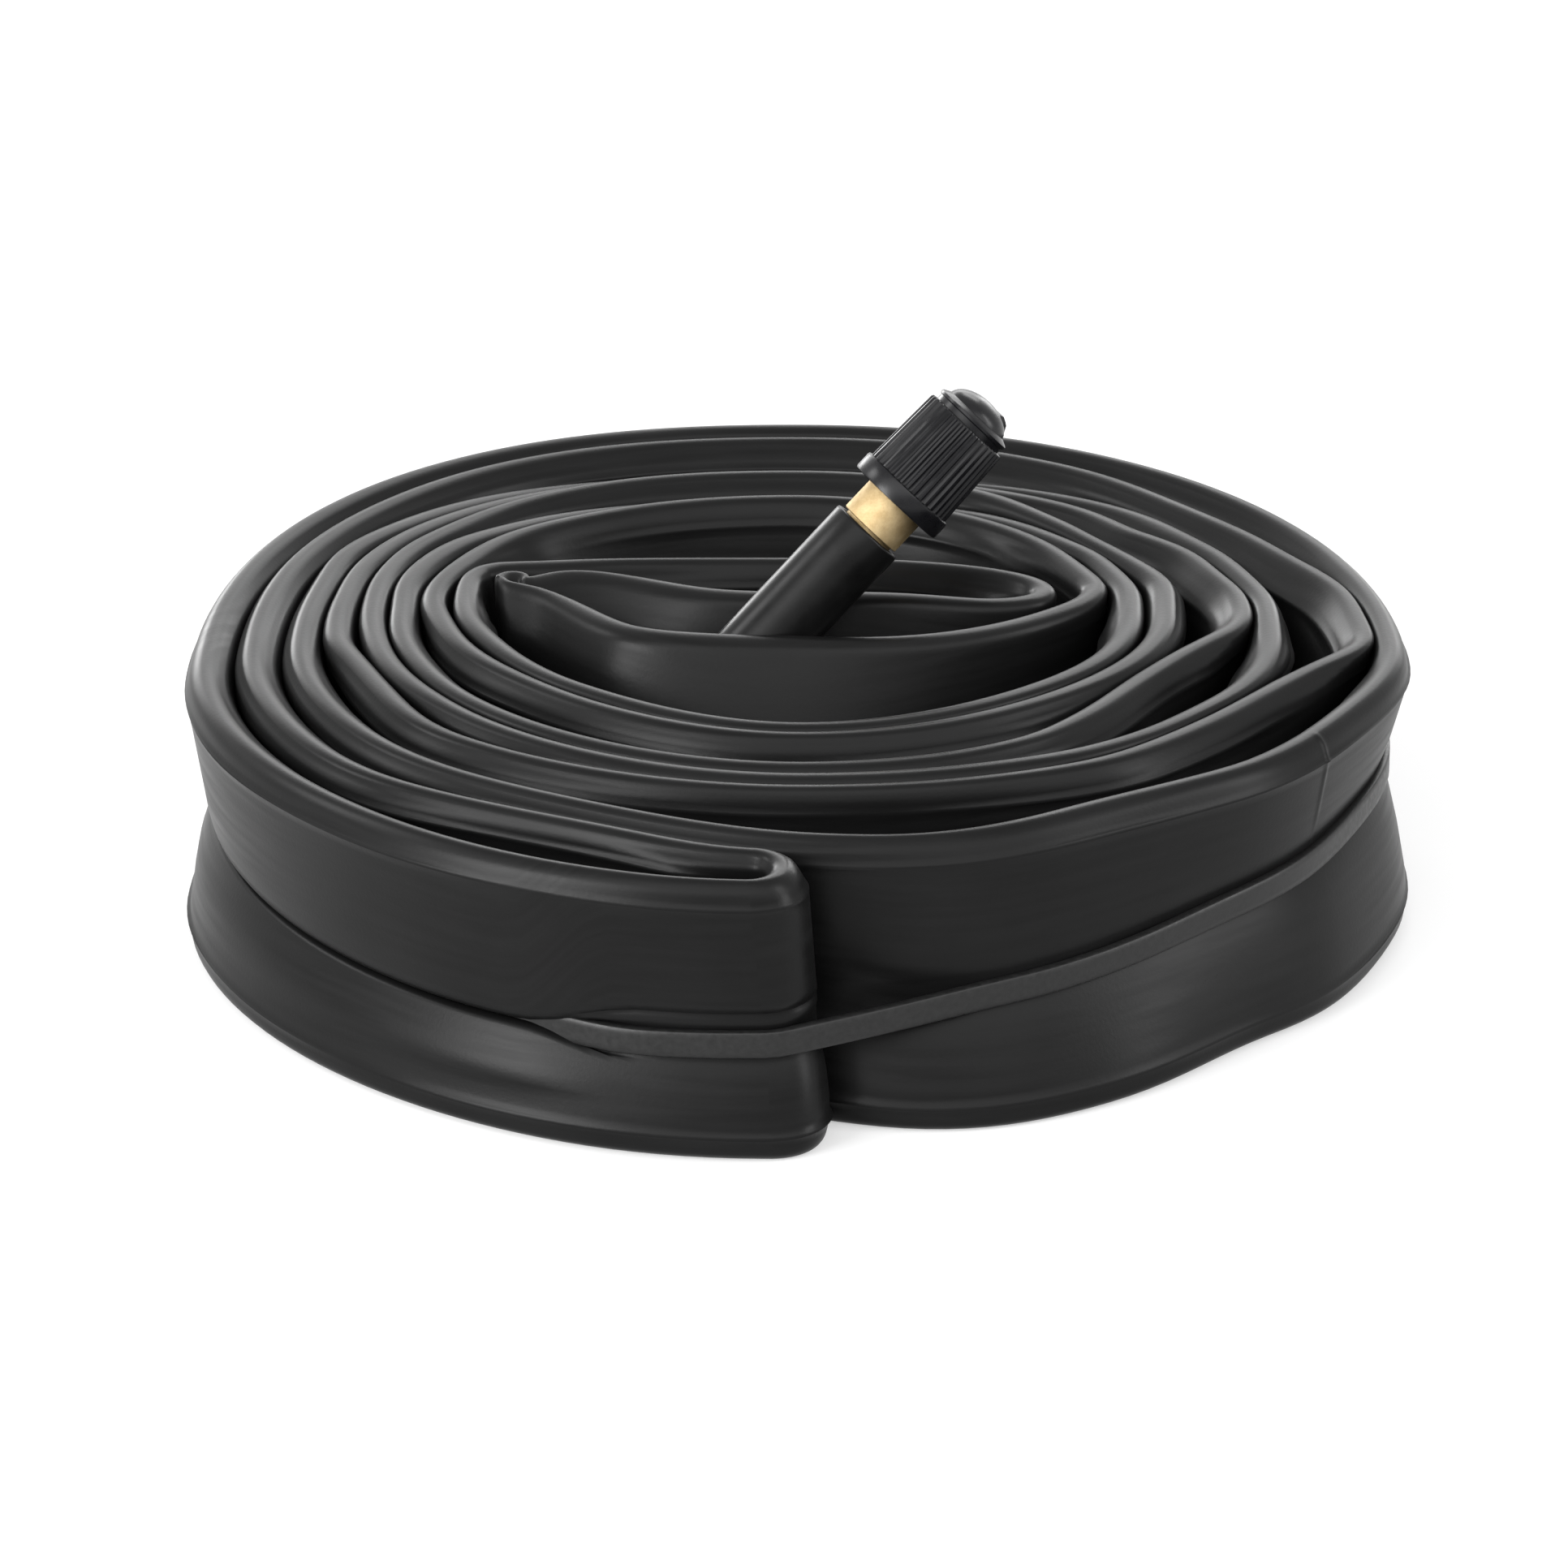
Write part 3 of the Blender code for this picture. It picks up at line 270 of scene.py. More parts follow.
# Cap thread on the stem, and core thread in its mouth
THREAD_CLEARANCE = 0.15 * MM
CAP_PITCH = INCH / 32
CAP_THREAD_ROOT = 3.35 * MM
CAP_THREAD_CREST = 3.75 * MM
CAP_THREAD_BOTTOM = MOUTH - 6.2 * MM
CAP_THREAD_TURNS = 6
CORE_PITCH = INCH / 36
CORE_THREAD_ROOT = 2.15 * MM
CORE_THREAD_CREST = 2.5 * MM
CORE_THREAD_TURNS = 5
PLUG_THREAD_BOTTOM = MOUTH - 4.6 * MM
FLAT_SHARE = 0.25
THREAD_RELIEF = 0.05 * MM
GASKET_TOP = MOUTH - 6.9 * MM
GASKET_BOTTOM = MOUTH - 8.7 * MM
SEAT_TOP_RADIUS = 2.3 * MM
SEAT_BOTTOM_RADIUS = 2.1 * MM
CHAMBER_RADIUS = 2.0 * MM
CHAMBER_BOTTOM = MOUTH - 19.5 * MM

# Core spring, between the barrel's lip and the pin's collar
SPRING_RADIUS = 0.84 * MM
SPRING_WIRE = 0.26 * MM
SPRING_COILS = 8
SPRING_GAP = 0.1 * MM
SPRING_SEGMENTS = 24
WIRE_SIDES = 8
BARREL_LIP_TOP = MOUTH - 12.9 * MM
PIN_COLLAR_BOTTOM = MOUTH - 6.3 * MM

# Dust cap
CAP_BOTTOM = MOUTH - 9.6 * MM
CAP_FLANGE_RADIUS = 5.4 * MM
CAP_FLANGE_TOP = CAP_BOTTOM + 2.0 * MM
CAP_BODY_RADIUS = 5.05 * MM
CAP_BODY_TOP_RADIUS = 4.75 * MM
CAP_BODY_TOP = MOUTH + 1.1 * MM
CAP_RIBS = 36
CAP_RIB_STEPS = 8
CAP_RIB_DEPTH = 0.22 * MM
CAP_GROOVE_RADIUS = 4.15 * MM
CAP_GROOVE_TOP = MOUTH + 1.7 * MM
CAP_DISC_RADIUS = 4.35 * MM
CAP_DISC_TOP = MOUTH + 2.2 * MM
CAP_DOME_RADIUS = 3.6 * MM
CAP_TIP = MOUTH + 4.4 * MM
CAP_LUG_FROM = CAP_DISC_TOP + 1.0 * MM
CAP_LUG_TO = CAP_DISC_TOP + 1.9 * MM
CAP_LUG_HALF_TURN = 0.07
CAP_LUG_HEIGHT = 0.3 * MM
CAP_ENGAGED_TURNS = 7
CAP_CEILING = MOUTH + 1.6 * MM
CAP_POCKET_RADIUS = 2.7 * MM
CAP_POCKET_TOP = CAP_CEILING + 1.2 * MM
CAP_ROUNDING = 0.12 * MM
DOME_STEPS = 10
CAP_RIB_SWING = 0.75
CAP_RIB_FOOT = 0.6
CAP_RIB_HEAD = 0.8
CAP_RIB_RINGS = (0.33, 0.67)

# How far the roughness of a metal drifts
METAL_SMOOTHER = 0.06
METAL_ROUGHER = 0.08

# Floor and surround, and the lamps: place, width and height, and watts
FLOOR_HALF = 6.0
FLOOR_GREY = 0.55
FLOOR_ROUGHNESS = 0.9
FLOOR_GLOW = 0.48
SURROUND_LIGHT = 0.25
SURROUND_SEEN = 1.0
LAMP_TARGET = Vector((0.0, 0.0, 0.015))
LAMPS = {
    "left_softbox": ((-0.60, -0.52, 0.26), (0.38, 0.44), 7.4),
    "left_top_softbox": ((-0.78, 0.15, 0.60), (0.30, 0.30), 2.5),
    "right_softbox": ((0.75, -0.20, 0.33), (0.18, 0.55), 3.0),
    "front_softbox": ((0.0, -0.80, 0.78), (2.3, 0.75), 10.5),
    "back_softbox": ((0.0, 1.1, 0.42), (1.2, 0.36), 5.0),
    "back_left_softbox": ((-0.45, 0.95, 0.13), (0.3, 0.26), 2.0),
    "back_right_softbox": ((0.45, 0.95, 0.13), (0.3, 0.26), 1.1),
    "top_back_softbox": ((0.25, 0.75, 0.68), (0.5, 0.25), 3.0),
}


def new_mesh(name, points, faces):
    """A mesh whose faces all point outwards."""
    mesh = bpy.data.meshes.new(name)
    mesh.from_pydata(np.asarray(points).tolist(), [], faces)
    shell = bmesh.new()
    shell.from_mesh(mesh)
    bmesh.ops.recalc_face_normals(shell, faces=shell.faces)
    shell.to_mesh(mesh)
    shell.free()
    return mesh


def new_object(name, data):
    made = bpy.data.objects.new(name, data)
    bpy.context.scene.collection.objects.link(made)
    return made


def new_piece(name, points, faces, surface):
    """A new object with smooth shading."""
    piece = new_object(name, new_mesh(name, points, faces))
    piece.data.shade_smooth()
    piece.data.materials.append(surface)
    return piece


def add_mesh(name, points, faces, surface, body, slot, replaced):
    """A new piece that rides on a body and stands for the node that it replaces."""
    piece = new_piece(name, points, faces, surface)
    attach(piece, body)
    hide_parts(replaced)
    return piece


def cut_away(piece, points, faces):
    """Cuts a closed shape out of a piece, and leaves the result as the piece's own mesh."""
    mesh = new_mesh("cutter", points, faces)
    cutter = new_object("cutter", mesh)
    cut = piece.modifiers.new("cut", "BOOLEAN")
    cut.operation = "DIFFERENCE"
    cut.solver = "EXACT"
    cut.object = cutter
    bpy.context.view_layer.update()
    evaluated = piece.evaluated_get(bpy.context.evaluated_depsgraph_get())
    result = bpy.data.meshes.new_from_object(evaluated)
    piece.modifiers.clear()
    old = piece.data
    piece.data = result
    result.name = piece.name
    bpy.data.meshes.remove(old)
    bpy.data.objects.remove(cutter)
    bpy.data.meshes.remove(mesh)


def sharpen(piece, degrees):
    """Smooth shading that keeps edges sharper than this angle."""
    piece.data.shade_smooth()
    piece.data.set_sharp_from_angle(angle=math.radians(degrees))


def rings_of(sizes):
    """The numbers of the points in each of some rings, whose points follow each other."""
    return [range(end - size, end) for size, end in zip(sizes, np.cumsum(sizes))]


def join_rings(rings, closed=False):
    """Faces from each ring to the next, and from the last to the first if closed. A ring can be one point."""
    pairs = list(zip(rings, rings[1:]))
    if closed:
        pairs.append((rings[-1], rings[0]))
    faces = []
    for low, high in pairs:
        for k in range(max(len(low), len(high))):
            n = k + 1
            corners = (low[k % len(low)], low[n % len(low)], high[n % len(high)], high[k % len(high)])
            faces.append(tuple(dict.fromkeys(corners)))
    return faces


def strand_distance(side, count):
    """How far the middle of a strand is from the roll's axis on one side, counted from the outside in."""
    return REACH[side] - STRIP / 2 - sum(GAPS_MM[side][:count]) * MM - count * STRIP


def compass_point(quarter, strand):
    """Where a strand passes the front, left, back or right of the roll, after this many quarter turns."""
    side = quarter % 4
    distance = strand_distance(side, 2 * (quarter // 4) + strand)
    centre = CENTRE_START + CENTRE_PER_TURN * quarter / 4
    if side == FRONT:
        return np.array([0.0 if quarter else FOLD_START, -distance])
    if side == BACK:
        return np.array([0.0, distance])
    return np.array([-distance if side == LEFT else distance, centre])


def squareness(quarter, strand):
    if quarter < LAST_QUARTERS:
        return SQUARENESS[quarter % 4]
    return LAST_SQUARENESS[strand][quarter - LAST_QUARTERS]


def quarter_turn(quarter, strand):
    """Rows of x, y and quarter turns along one quarter of a strand, which is a quarter of a superellipse."""
    start = compass_point(quarter, strand)
    end = compass_point(quarter + 1, strand)
    share = np.linspace(0, 1, QUARTER_STEPS, endpoint=False)
    kink = np.zeros(QUARTER_STEPS)
    if strand == INNER_STRAND and quarter in KINK_QUARTERS:
        start[X] -= KINK_REACH
        kink = KINK_REACH * np.exp(-((share / KINK_AFTER) ** 2))
    if strand == INNER_STRAND and quarter + 1 in KINK_QUARTERS:
        end[X] -= KINK_REACH
        kink = KINK_REACH * np.exp(-(((share - 1) / KINK_BEFORE) ** 2))
    power = 2 / squareness(quarter, strand)
    going = np.cos(share * math.pi / 2) ** power
    coming = np.sin(share * math.pi / 2) ** power
    if quarter % 4 in (FRONT, BACK):
        x = start[X] + (end[X] - start[X]) * coming
        y = end[Y] + (start[Y] - end[Y]) * going
    else:
        x = end[X] + (start[X] - end[X]) * going
        y = start[Y] + (end[Y] - start[Y]) * coming
    return np.stack([x + kink, y, quarter + share], axis=1)


def hump(values, middle, half_span):
    """1 in the middle, and smoothly down to 0 half a span away from it."""
    return np.cos(np.clip((values - middle) / half_span, -1, 1) * math.pi / 2) ** 2


def ease(values, start, end):
    """0 up to start, 1 from end on, and a smooth step between them."""
    share = np.clip((values - start) / (end - start), 0, 1)
    return share * share * (3 - 2 * share)


def lengths_along(rows):
    return np.r_[0, np.cumsum(np.linalg.norm(np.diff(rows[:, XY], axis=0), axis=1))]


def at_lengths(rows, where):
    along = lengths_along(rows)
    return np.stack([np.interp(where, along, column) for column in rows.T], axis=1)


def way_round(here, there, total):
    """The shorter way along the closed route from one place to another."""
    apart = np.abs(here - there)
    return np.minimum(apart, total - apart)


def right_of(xy):
    """The direction to the right of a closed line at each of its points."""
    tangent = np.roll(xy, -1, axis=0) - np.roll(xy, 1, axis=0)
    tangent /= np.linalg.norm(tangent, axis=1)[:, None]
    return np.c_[tangent[:, Y], -tangent[:, X]]


def strand_route(strand):
    """One strand from the outer fold to the inner one, evenly stepped and with its corners softened."""
    last = np.r_[compass_point(QUARTER_TURNS, strand), QUARTER_TURNS]
    rows = np.vstack([quarter_turn(quarter, strand) for quarter in range(QUARTER_TURNS)] + [last])
    for middle, half_span, x, y in NUDGES[strand]:
        rows[:, XY] += hump(rows[:, QUARTER], middle, half_span)[:, None] * np.array([x, y]) * MM
    total = lengths_along(rows)[-1]
    rows = at_lengths(rows, np.linspace(0, total, round(total / STEP) + 1))
    reach = round(4 * BEND_SOFTENING / STEP)
    weights = np.exp(-0.5 * (np.arange(-reach, reach + 1) * STEP / BEND_SOFTENING) ** 2)
    weights /= weights.sum()
    before = 2 * rows[0] - rows[reach:0:-1]
    after = 2 * rows[-1] - rows[-2 : -reach - 2 : -1]
    padded = np.vstack([before, rows, after])
    return np.stack([np.convolve(column, weights, "valid") for column in padded.T], axis=1)


def fold(start, end, towards):
    """The half circle of a fold, from the end of one strand to the end of the other."""
    centre = (start[XY] + end[XY]) / 2
    arm = start[XY] - centre
    out = np.array(towards) * np.linalg.norm(arm)
    angle = np.linspace(0, math.pi, FOLD_STEPS + 1)[1:-1, None]
    xy = centre + np.cos(angle) * arm + np.sin(angle) * out
    return np.c_[xy, np.full(len(xy), start[QUARTER])]


def add_humps(quarters, humps):
    """The sum of some humps along a strand, each with its middle, half span and height in mm."""
    return sum(height * MM * hump(quarters, middle, half_span) for middle, half_span, height in humps)


def tube_route(shift):
    """The closed route of the tube's middle in plan, one row for each half millimetre, with these columns.

    X, Y and QUARTER: the place, and how many quarter turns it is from the outer fold. LEAN: how far the top
    leans to the rim side. NORMAL: the direction to the rim side. EXPOSED: 1 where the tread side is the
    outside of the roll, and 0 where another strand covers it. FOLD and TIP: 1 at the outer and the inner
    fold, and 0 away from them. SAG: how far the top edge is below the roll's full height.
    """
    outer = strand_route(OUTER_STRAND)
    inner = strand_route(INNER_STRAND)[::-1]
    inner_fold = fold(outer[-1], inner[0], (0, 1))
    outer_fold = fold(inner[-1], outer[0], (1, 0))
    inner_start = len(outer) + len(inner_fold)
    inner_end = inner_start + len(inner)
    rows = np.zeros((inner_end + len(outer_fold), COLUMNS))
    rows[:, : QUARTER + 1] = np.vstack([outer, inner_fold, inner, outer_fold])
    rows[:, XY] -= np.array(shift)
    parts = {OUTER_STRAND: slice(0, len(outer)), INNER_STRAND: slice(inner_start, inner_end)}
    for strand, part in parts.items():
        rows[part, LEAN] = add_humps(rows[part, QUARTER], LEANS[strand])
        rows[part, SAG] = add_humps(rows[part, QUARTER], SAGS[strand])
    rows[: len(outer), EXPOSED] = 1 - ease(outer[:, QUARTER], *COVERED_QUARTERS)
    rows[inner_end:, EXPOSED] = ease(np.linspace(0, 1, len(outer_fold)), 0, FOLD_EXPOSED_FROM)
    along = lengths_along(rows)
    total = along[-1] + STEP
    outer_tip = along[inner_end + len(outer_fold) // 2]
    inner_tip = along[len(outer) + len(inner_fold) // 2]
    rows[:, FOLD] = hump(way_round(along, outer_tip, total), 0, FOLD_LEAN_SPAN)
    rows[:, TIP] = hump(way_round(along, inner_tip, total), 0, TIP_BEND_SPAN)
    keep_clear(rows)
    rows[:, NORMAL] = right_of(rows[:, XY])
    return rows, len(outer)


def neighbours(xy, normals, apart):
    """How far along each station's normal all others are, and which of them are neighbours on that line."""
    across = xy[None] - xy[:, None]
    ahead = np.einsum("ijk,ik->ij", across, normals)
    beside = np.abs(across[:, :, X] * normals[:, None, Y] - across[:, :, Y] * normals[:, None, X])
    return ahead, (apart > NEIGHBOUR_DISTANCE) & (beside < SIDE_WINDOW)


def keep_clear(rows):
    """Pushes strands apart where their walls would meet at the bottom, the middle or the top of the roll."""
    few = rows[::PUSH_STEP].copy()
    lengths = lengths_along(rows)
    along = lengths[::PUSH_STEP]
    total = lengths[-1] + STEP
    apart = way_round(along[:, None], along[None], total)
    weights = np.exp(-0.5 * (apart / PUSH_SMOOTHING) ** 2)
    weights /= weights.sum(axis=1)[:, None]
    free = (few[:, EXPOSED] < 0.5)[:, None]
    moved = np.zeros((len(few), 2))
    for _ in range(PUSH_ROUNDS):
        few[:, NORMAL] = right_of(few[:, XY])
        push = np.zeros((len(few), 2))
        for share in PUSH_HEIGHTS:
            xy = tube_points(few, 0.0, share * FLAT_WIDTH)[:, XY]
            ahead, near = neighbours(xy, few[:, NORMAL], apart)
            away = ahead.T
            short = np.where(near.T, np.clip(LEAST_APART - np.abs(away), 0, None), 0)
            nearest = short.argmax(axis=1)
            amount = short.max(axis=1) * np.sign(away[np.arange(len(few)), nearest])
            push += few[nearest][:, NORMAL] * amount[:, None] * PUSH_SHARE
        step = weights @ (push * free) * free
        few[:, XY] += step
        moved += step
    closed = np.r_[along, total]
    for axis in (X, Y):
        rows[:, axis] += np.interp(lengths_along(rows), closed, np.r_[moved[:, axis], moved[0, axis]])


def splice_row(rows):
    """The row of the outermost turn where the tube's two ends were joined."""
    apart = np.abs(rows[:, QUARTER] - SPLICE_QUARTER) + (rows[:, EXPOSED] < 0.5)
    return int(apart.argmin())


def choose_stations(route):
    """Places along the route for the tube's sections, closer together where it bends and at the splice."""
    closed = np.vstack([route, route[:1]])
    along = lengths_along(closed)
    heading = np.unwrap(np.arctan2(closed[:, NORMAL_Y], closed[:, NORMAL_X]))
    curve = np.gradient(heading, along)
    per_metre = np.hypot(1 / LONGEST_STEP, np.abs(curve) / TURN_PER_STEP)
    from_splice = (along - along[splice_row(closed)]) / (4 * SPLICE_WIDTH)
    per_metre += np.exp(-(from_splice**2)) / (SPLICE_WIDTH / 2)
    measure = np.r_[0, np.cumsum((per_metre[1:] + per_metre[:-1]) / 2 * np.diff(along))]
    count = math.ceil(measure[-1])
    where = np.interp(np.arange(count) * measure[-1] / count, measure, along)
    rows = at_lengths(closed, where)
    rows[:, NORMAL] /= np.linalg.norm(rows[:, NORMAL], axis=1)[:, None]
    return rows, where, along[-1], np.interp(where, along, curve)


def band_height(xy):
    """The band runs level at the back and the left, dips at the front and rises to the right."""
    x, y = xy[..., X], xy[..., Y]
    forward = (np.sqrt(y * y + BAND_DIP_EASE**2) - y) / 2
    return BAND_HEIGHT + BAND_RISE_RIGHT * x + BAND_RISE_BACK - BAND_DIP_FRONT * forward


def tube_points(rows, offset, height):
    """Points of the tube's sections, offset towards the rim side, leant over and drawn in at the waist."""
    middle = band_height(rows[:, XY])
    below = height / middle
    above = (FLAT_WIDTH - height) / (FLAT_WIDTH - middle)
    drawn = np.clip(np.minimum(below, above), 0, 1)
    shift = offset + rows[:, LEAN] * (2 * height / FLAT_WIDTH - 1)
    xy = rows[:, XY] + rows[:, NORMAL] * shift[:, None]
    xy = xy * (1 - drawn * WAIST / REACH[FRONT])[:, None]
    xy[:, X] += FOLD_LEAN * rows[:, FOLD] * (FOLD_LEAN_PIVOT - height / FLAT_WIDTH)
    bent = np.clip(1 - (FLAT_WIDTH - height) / TIP_BEND_DEPTH, 0, 1)
    xy[:, Y] += TIP_BEND * rows[:, TIP] * bent
    return np.c_[xy, height * (1 - rows[:, SAG] / FLAT_WIDTH)]


def smooth_round(values, apart, width):
    """The least value near each station, smoothed along the closed route."""
    least = np.where(apart < width, values[None], np.inf).min(axis=1)
    weights = np.exp(-0.5 * (apart / width) ** 2)
    return weights @ least / weights.sum(axis=1)


def wall_rooms(rows, along, total, curve):
    """How far each wall can stand off the tube's middle, on the rim and the tread side, at some heights."""
    hidden = 1 - rows[:, EXPOSED]
    open_middle = ease(rows[:, QUARTER], *OPEN_MIDDLE_QUARTERS)
    bend = BEND_SHARE / np.maximum(np.abs(curve), LEAST_CURVE)
    most = BEAD_STRAIGHT + BEAD_BENT * np.abs(rows[:, NORMAL_X]) + BEAD_OUTSIDE * rows[:, EXPOSED]
    rim_most = most + BULGE_MOST * (1 - open_middle) * (1 - rows[:, FOLD])
    rim_most = np.where(curve < 0, np.minimum(bend, rim_most), rim_most)
    tread_most = most + BULGE_MOST * hidden * (1 - ease(rows[:, QUARTER], *LEANING_QUARTERS))
    tread_most = np.where(curve > 0, np.minimum(bend, tread_most), tread_most)
    apart = way_round(along[:, None], along[None], total)
    rooms = {1: [], -1: []}
    for height in np.linspace(0, FLAT_WIDTH, ROOM_LEVELS):
        xy = tube_points(rows, 0.0, height)[:, XY]
        ahead, near = neighbours(xy, rows[:, NORMAL], apart)
        for side, limit in ((1, rim_most), (-1, tread_most)):
            distance = np.where(near & (side * ahead > 0), side * ahead, np.inf).min(axis=1)
            room = np.minimum(distance / 2 - WALL_CLEARANCE, limit)
            rooms[side].append(smooth_round(room, apart, BEAD_SMOOTHING))
    return {side: np.array(levels) for side, levels in rooms.items()}


def half_thickness(rows, height, rooms, exposed):
    """The wall's distance from the tube's middle: a bead at each edge, and a bulge into the gap beside it.

    On the outside of the roll the wall slopes in above the mould line, to a shoulder.
    """
    level = np.clip(height / FLAT_WIDTH, 0, 1) * (ROOM_LEVELS - 1)
    low = np.minimum(level.astype(int), ROOM_LEVELS - 2)
    here = np.arange(len(rows))
    room = rooms[low, here] + (rooms[low + 1, here] - rooms[low, here]) * (level - low)
    depth = np.minimum(height, FLAT_WIDTH - height)
    bent = np.abs(rows[:, NORMAL_X])
    bead = np.minimum(BEAD_STRAIGHT + BEAD_BENT * bent + BEAD_OUTSIDE * exposed, room)
    edge = np.clip(EDGE_TIGHT + EDGE_PER_ROOM * (room - BEAD_STRAIGHT), EDGE_TIGHT, EDGE_LOOSE)
    edge = edge + (EDGE_OUTSIDE - edge) * exposed
    power = EDGE_POWER + EDGE_POWER_BENT * bent
    corner = np.clip(1 - np.abs(1 - np.minimum(depth / edge, 1)) ** power, 0, 1) ** (1 / power)
    spare = np.maximum(room - bead, BULGE_LEAST)
    shoulder = np.where(height > FLAT_WIDTH / 2, SHOULDER_TOP, SHOULDER_BOTTOM)
    bead = bead - shoulder * exposed * np.clip(1 - depth / MOULD_LINE_DEPTH, 0, 1)
    slope = BULGE_SLOPE_WIDE + (BULGE_SLOPE_TIGHT - BULGE_SLOPE_WIDE) / (1 + (spare / BULGE_ROOM) ** 4)
    bulge = spare * (1 - np.exp(-slope * np.maximum(depth - edge / 2, 0) / spare))
    return bead * corner + bulge


def mould_line(depth, rows, along, phase):
    """How far the mould line stands proud: a thin ridge, worn in places and gone in the roll's middle."""
    waves = sum(size * np.sin(along * rate + times * phase) for size, rate, times in MOULD_LINE_WAVES)
    ridge = np.abs(depth - MOULD_LINE_DEPTH) < MOULD_LINE_WIDTH / 2
    left = np.clip(MOULD_LINE_WEAR + waves, 0, 1)
    return MOULD_LINE_HEIGHT * ridge * left * (1 - ease(rows[:, QUARTER], *LEANING_QUARTERS))


def closed_share(rows):
    """How far the notch is closed over the band: 1 at the front left, where the rubber folds over it."""
    quarter = rows[:, QUARTER]
    opened = ease(quarter, CLOSED_FROM - CLOSED_EASE, CLOSED_FROM)
    return opened * (1 - ease(quarter, CLOSED_TO, CLOSED_TO + CLOSED_EASE))


def notch_rows(rows, exposed):
    """Heights and depths of the notch's points: creased by the outer fold, then closed over the band."""
    middle = band_height(rows[:, XY])
    creased = 1 - ease(rows[:, QUARTER], *CREASE_QUARTERS)
    closed = closed_share(rows)
    found = []
    for open_point, creased_point, closed_point in zip(OPEN_NOTCH, CREASED_NOTCH, CLOSED_NOTCH):
        offset = open_point[0] + (creased_point[0] - open_point[0]) * creased
        depth = open_point[1] + (creased_point[1] - open_point[1]) * creased
        height = middle + (offset + (closed_point[0] - offset) * closed * exposed) * MM
        found.append((height, (depth + (closed_point[1] - depth) * closed) * exposed * MM))
    return found


def tube_side(rows, along, side, rooms):
    """The points up one side of the tube, one array for each point of the section."""
    nothing = np.zeros(len(rows))
    middle = band_height(rows[:, XY])
    exposed = rows[:, EXPOSED] if side < 0 else nothing
    splice = SPLICE_HEIGHT * np.exp(-(((along - along[splice_row(rows)]) / SPLICE_WIDTH) ** 2)) * exposed
    notch = notch_rows(rows, exposed)
    face_bottom, face_top = EDGE_DEPTHS[-1], FLAT_WIDTH - EDGE_DEPTHS[-1]
    below = ((face_bottom + notch[0][0]) / 2, notch[0][1] / 2)
    above = ((face_top + notch[-1][0]) / 2, notch[-1][1] / 2)
    levels = []
    for depth in EDGE_DEPTHS:
        levels.append((nothing + depth, nothing, mould_line(depth, rows, along, BOTTOM_PHASE)))
    levels += [(height, sink, nothing) for height, sink in [below] + notch + [above]]
    for depth in EDGE_DEPTHS[::-1]:
        levels.append((nothing + FLAT_WIDTH - depth, nothing, mould_line(depth, rows, along, TOP_PHASE)))
    columns = []
    for height, sink, line in levels:
        lobe = np.sin(math.pi * np.clip(height / (middle - BAND_WIDTH / 2), 0, 1) ** LOBE_PEAK)
        ridge = splice * np.clip(1 - (FLAT_WIDTH - height) / SPLICE_DEPTH, 0, 1) ** 0.5
        half = half_thickness(rows, height, rooms[side], exposed)
        half = half + line + ridge - sink + exposed * LOBE * lobe
        columns.append(tube_points(rows, side * half, height))
    return columns


def make_tube(route, surface):
    """The tube's rubber. Gives back the line of the waist, where the band lies."""
    rows, along, total, curve = choose_stations(route)
    rooms = wall_rooms(rows, along, total, curve)
    tread = tube_side(rows, along, -1, rooms)
    rim = tube_side(rows, along, 1, rooms)
    bottom = tube_points(rows, 0.0, 0.0)
    top = tube_points(rows, 0.0, FLAT_WIDTH)
    points, faces = closed_strip([bottom] + tread + [top] + rim[::-1])
    piece = add_mesh("tube_rubber", points.reshape(-1, 3), faces, surface, "tube", "butyl", "inner_tube")
    add_strip_uv(piece, points, along, total)
    waist = tread[len(EDGE_DEPTHS) + 1 + len(OPEN_NOTCH) // 2]
    return waist[rows[:, EXPOSED] > 0.5]


def closed_strip(columns):
    """Points, as rows of sections, and faces of a loop, from one column for each point of a section."""
    points = np.stack(columns, axis=1)
    count, size = points.shape[:2]
    return points, join_rings(rings_of([size] * count), closed=True)


def add_strip_uv(piece, points, along, total):
    """Lays out the rubber in metres: along the tube, and round its section."""
    count, size = points.shape[:2]
    steps = np.linalg.norm(np.diff(np.concatenate([points, points[:, :1]], axis=1), axis=1), axis=2)
    around = np.c_[np.zeros(count), np.cumsum(steps, axis=1)]
    ends = np.r_[along, total]
    layer = piece.data.uv_layers.new(name="strip")
    vertex_order = np.empty(len(piece.data.loops), dtype=np.int64)
    piece.data.loops.foreach_get("vertex_index", vertex_order)
    loop_face = np.repeat(np.arange(count * size), 4)
    here = vertex_order // size
    place = vertex_order % size
    face_i = loop_face // size
    face_j = loop_face % size
    along_values = np.where(here == face_i, ends[face_i], ends[face_i + 1])
    around_values = np.where(place == face_j, around[here, face_j], around[here, face_j + 1])
    layer.data.foreach_set("uv", np.stack([along_values, around_values], axis=1).ravel())


def convex_outline(xy):
    """The corners of the tight loop round some points in plan, anticlockwise."""
    ordered = sorted(map(tuple, xy))
    halves = []
    for run in (ordered, ordered[::-1]):
        chain = []
        for point in run:
            while len(chain) > 1 and turn(chain[-2], chain[-1], point) <= 0:
                chain.pop()
            chain.append(point)
        halves.append(chain[:-1])
    return np.array(halves[0] + halves[1])


def turn(first, second, third):
    """More than 0 where three points in plan turn to the left, and less where they turn to the right."""
    going = (second[X] - first[X], second[Y] - first[Y])
    coming = (third[X] - second[X], third[Y] - second[Y])
    return going[X] * coming[Y] - going[Y] * coming[X]


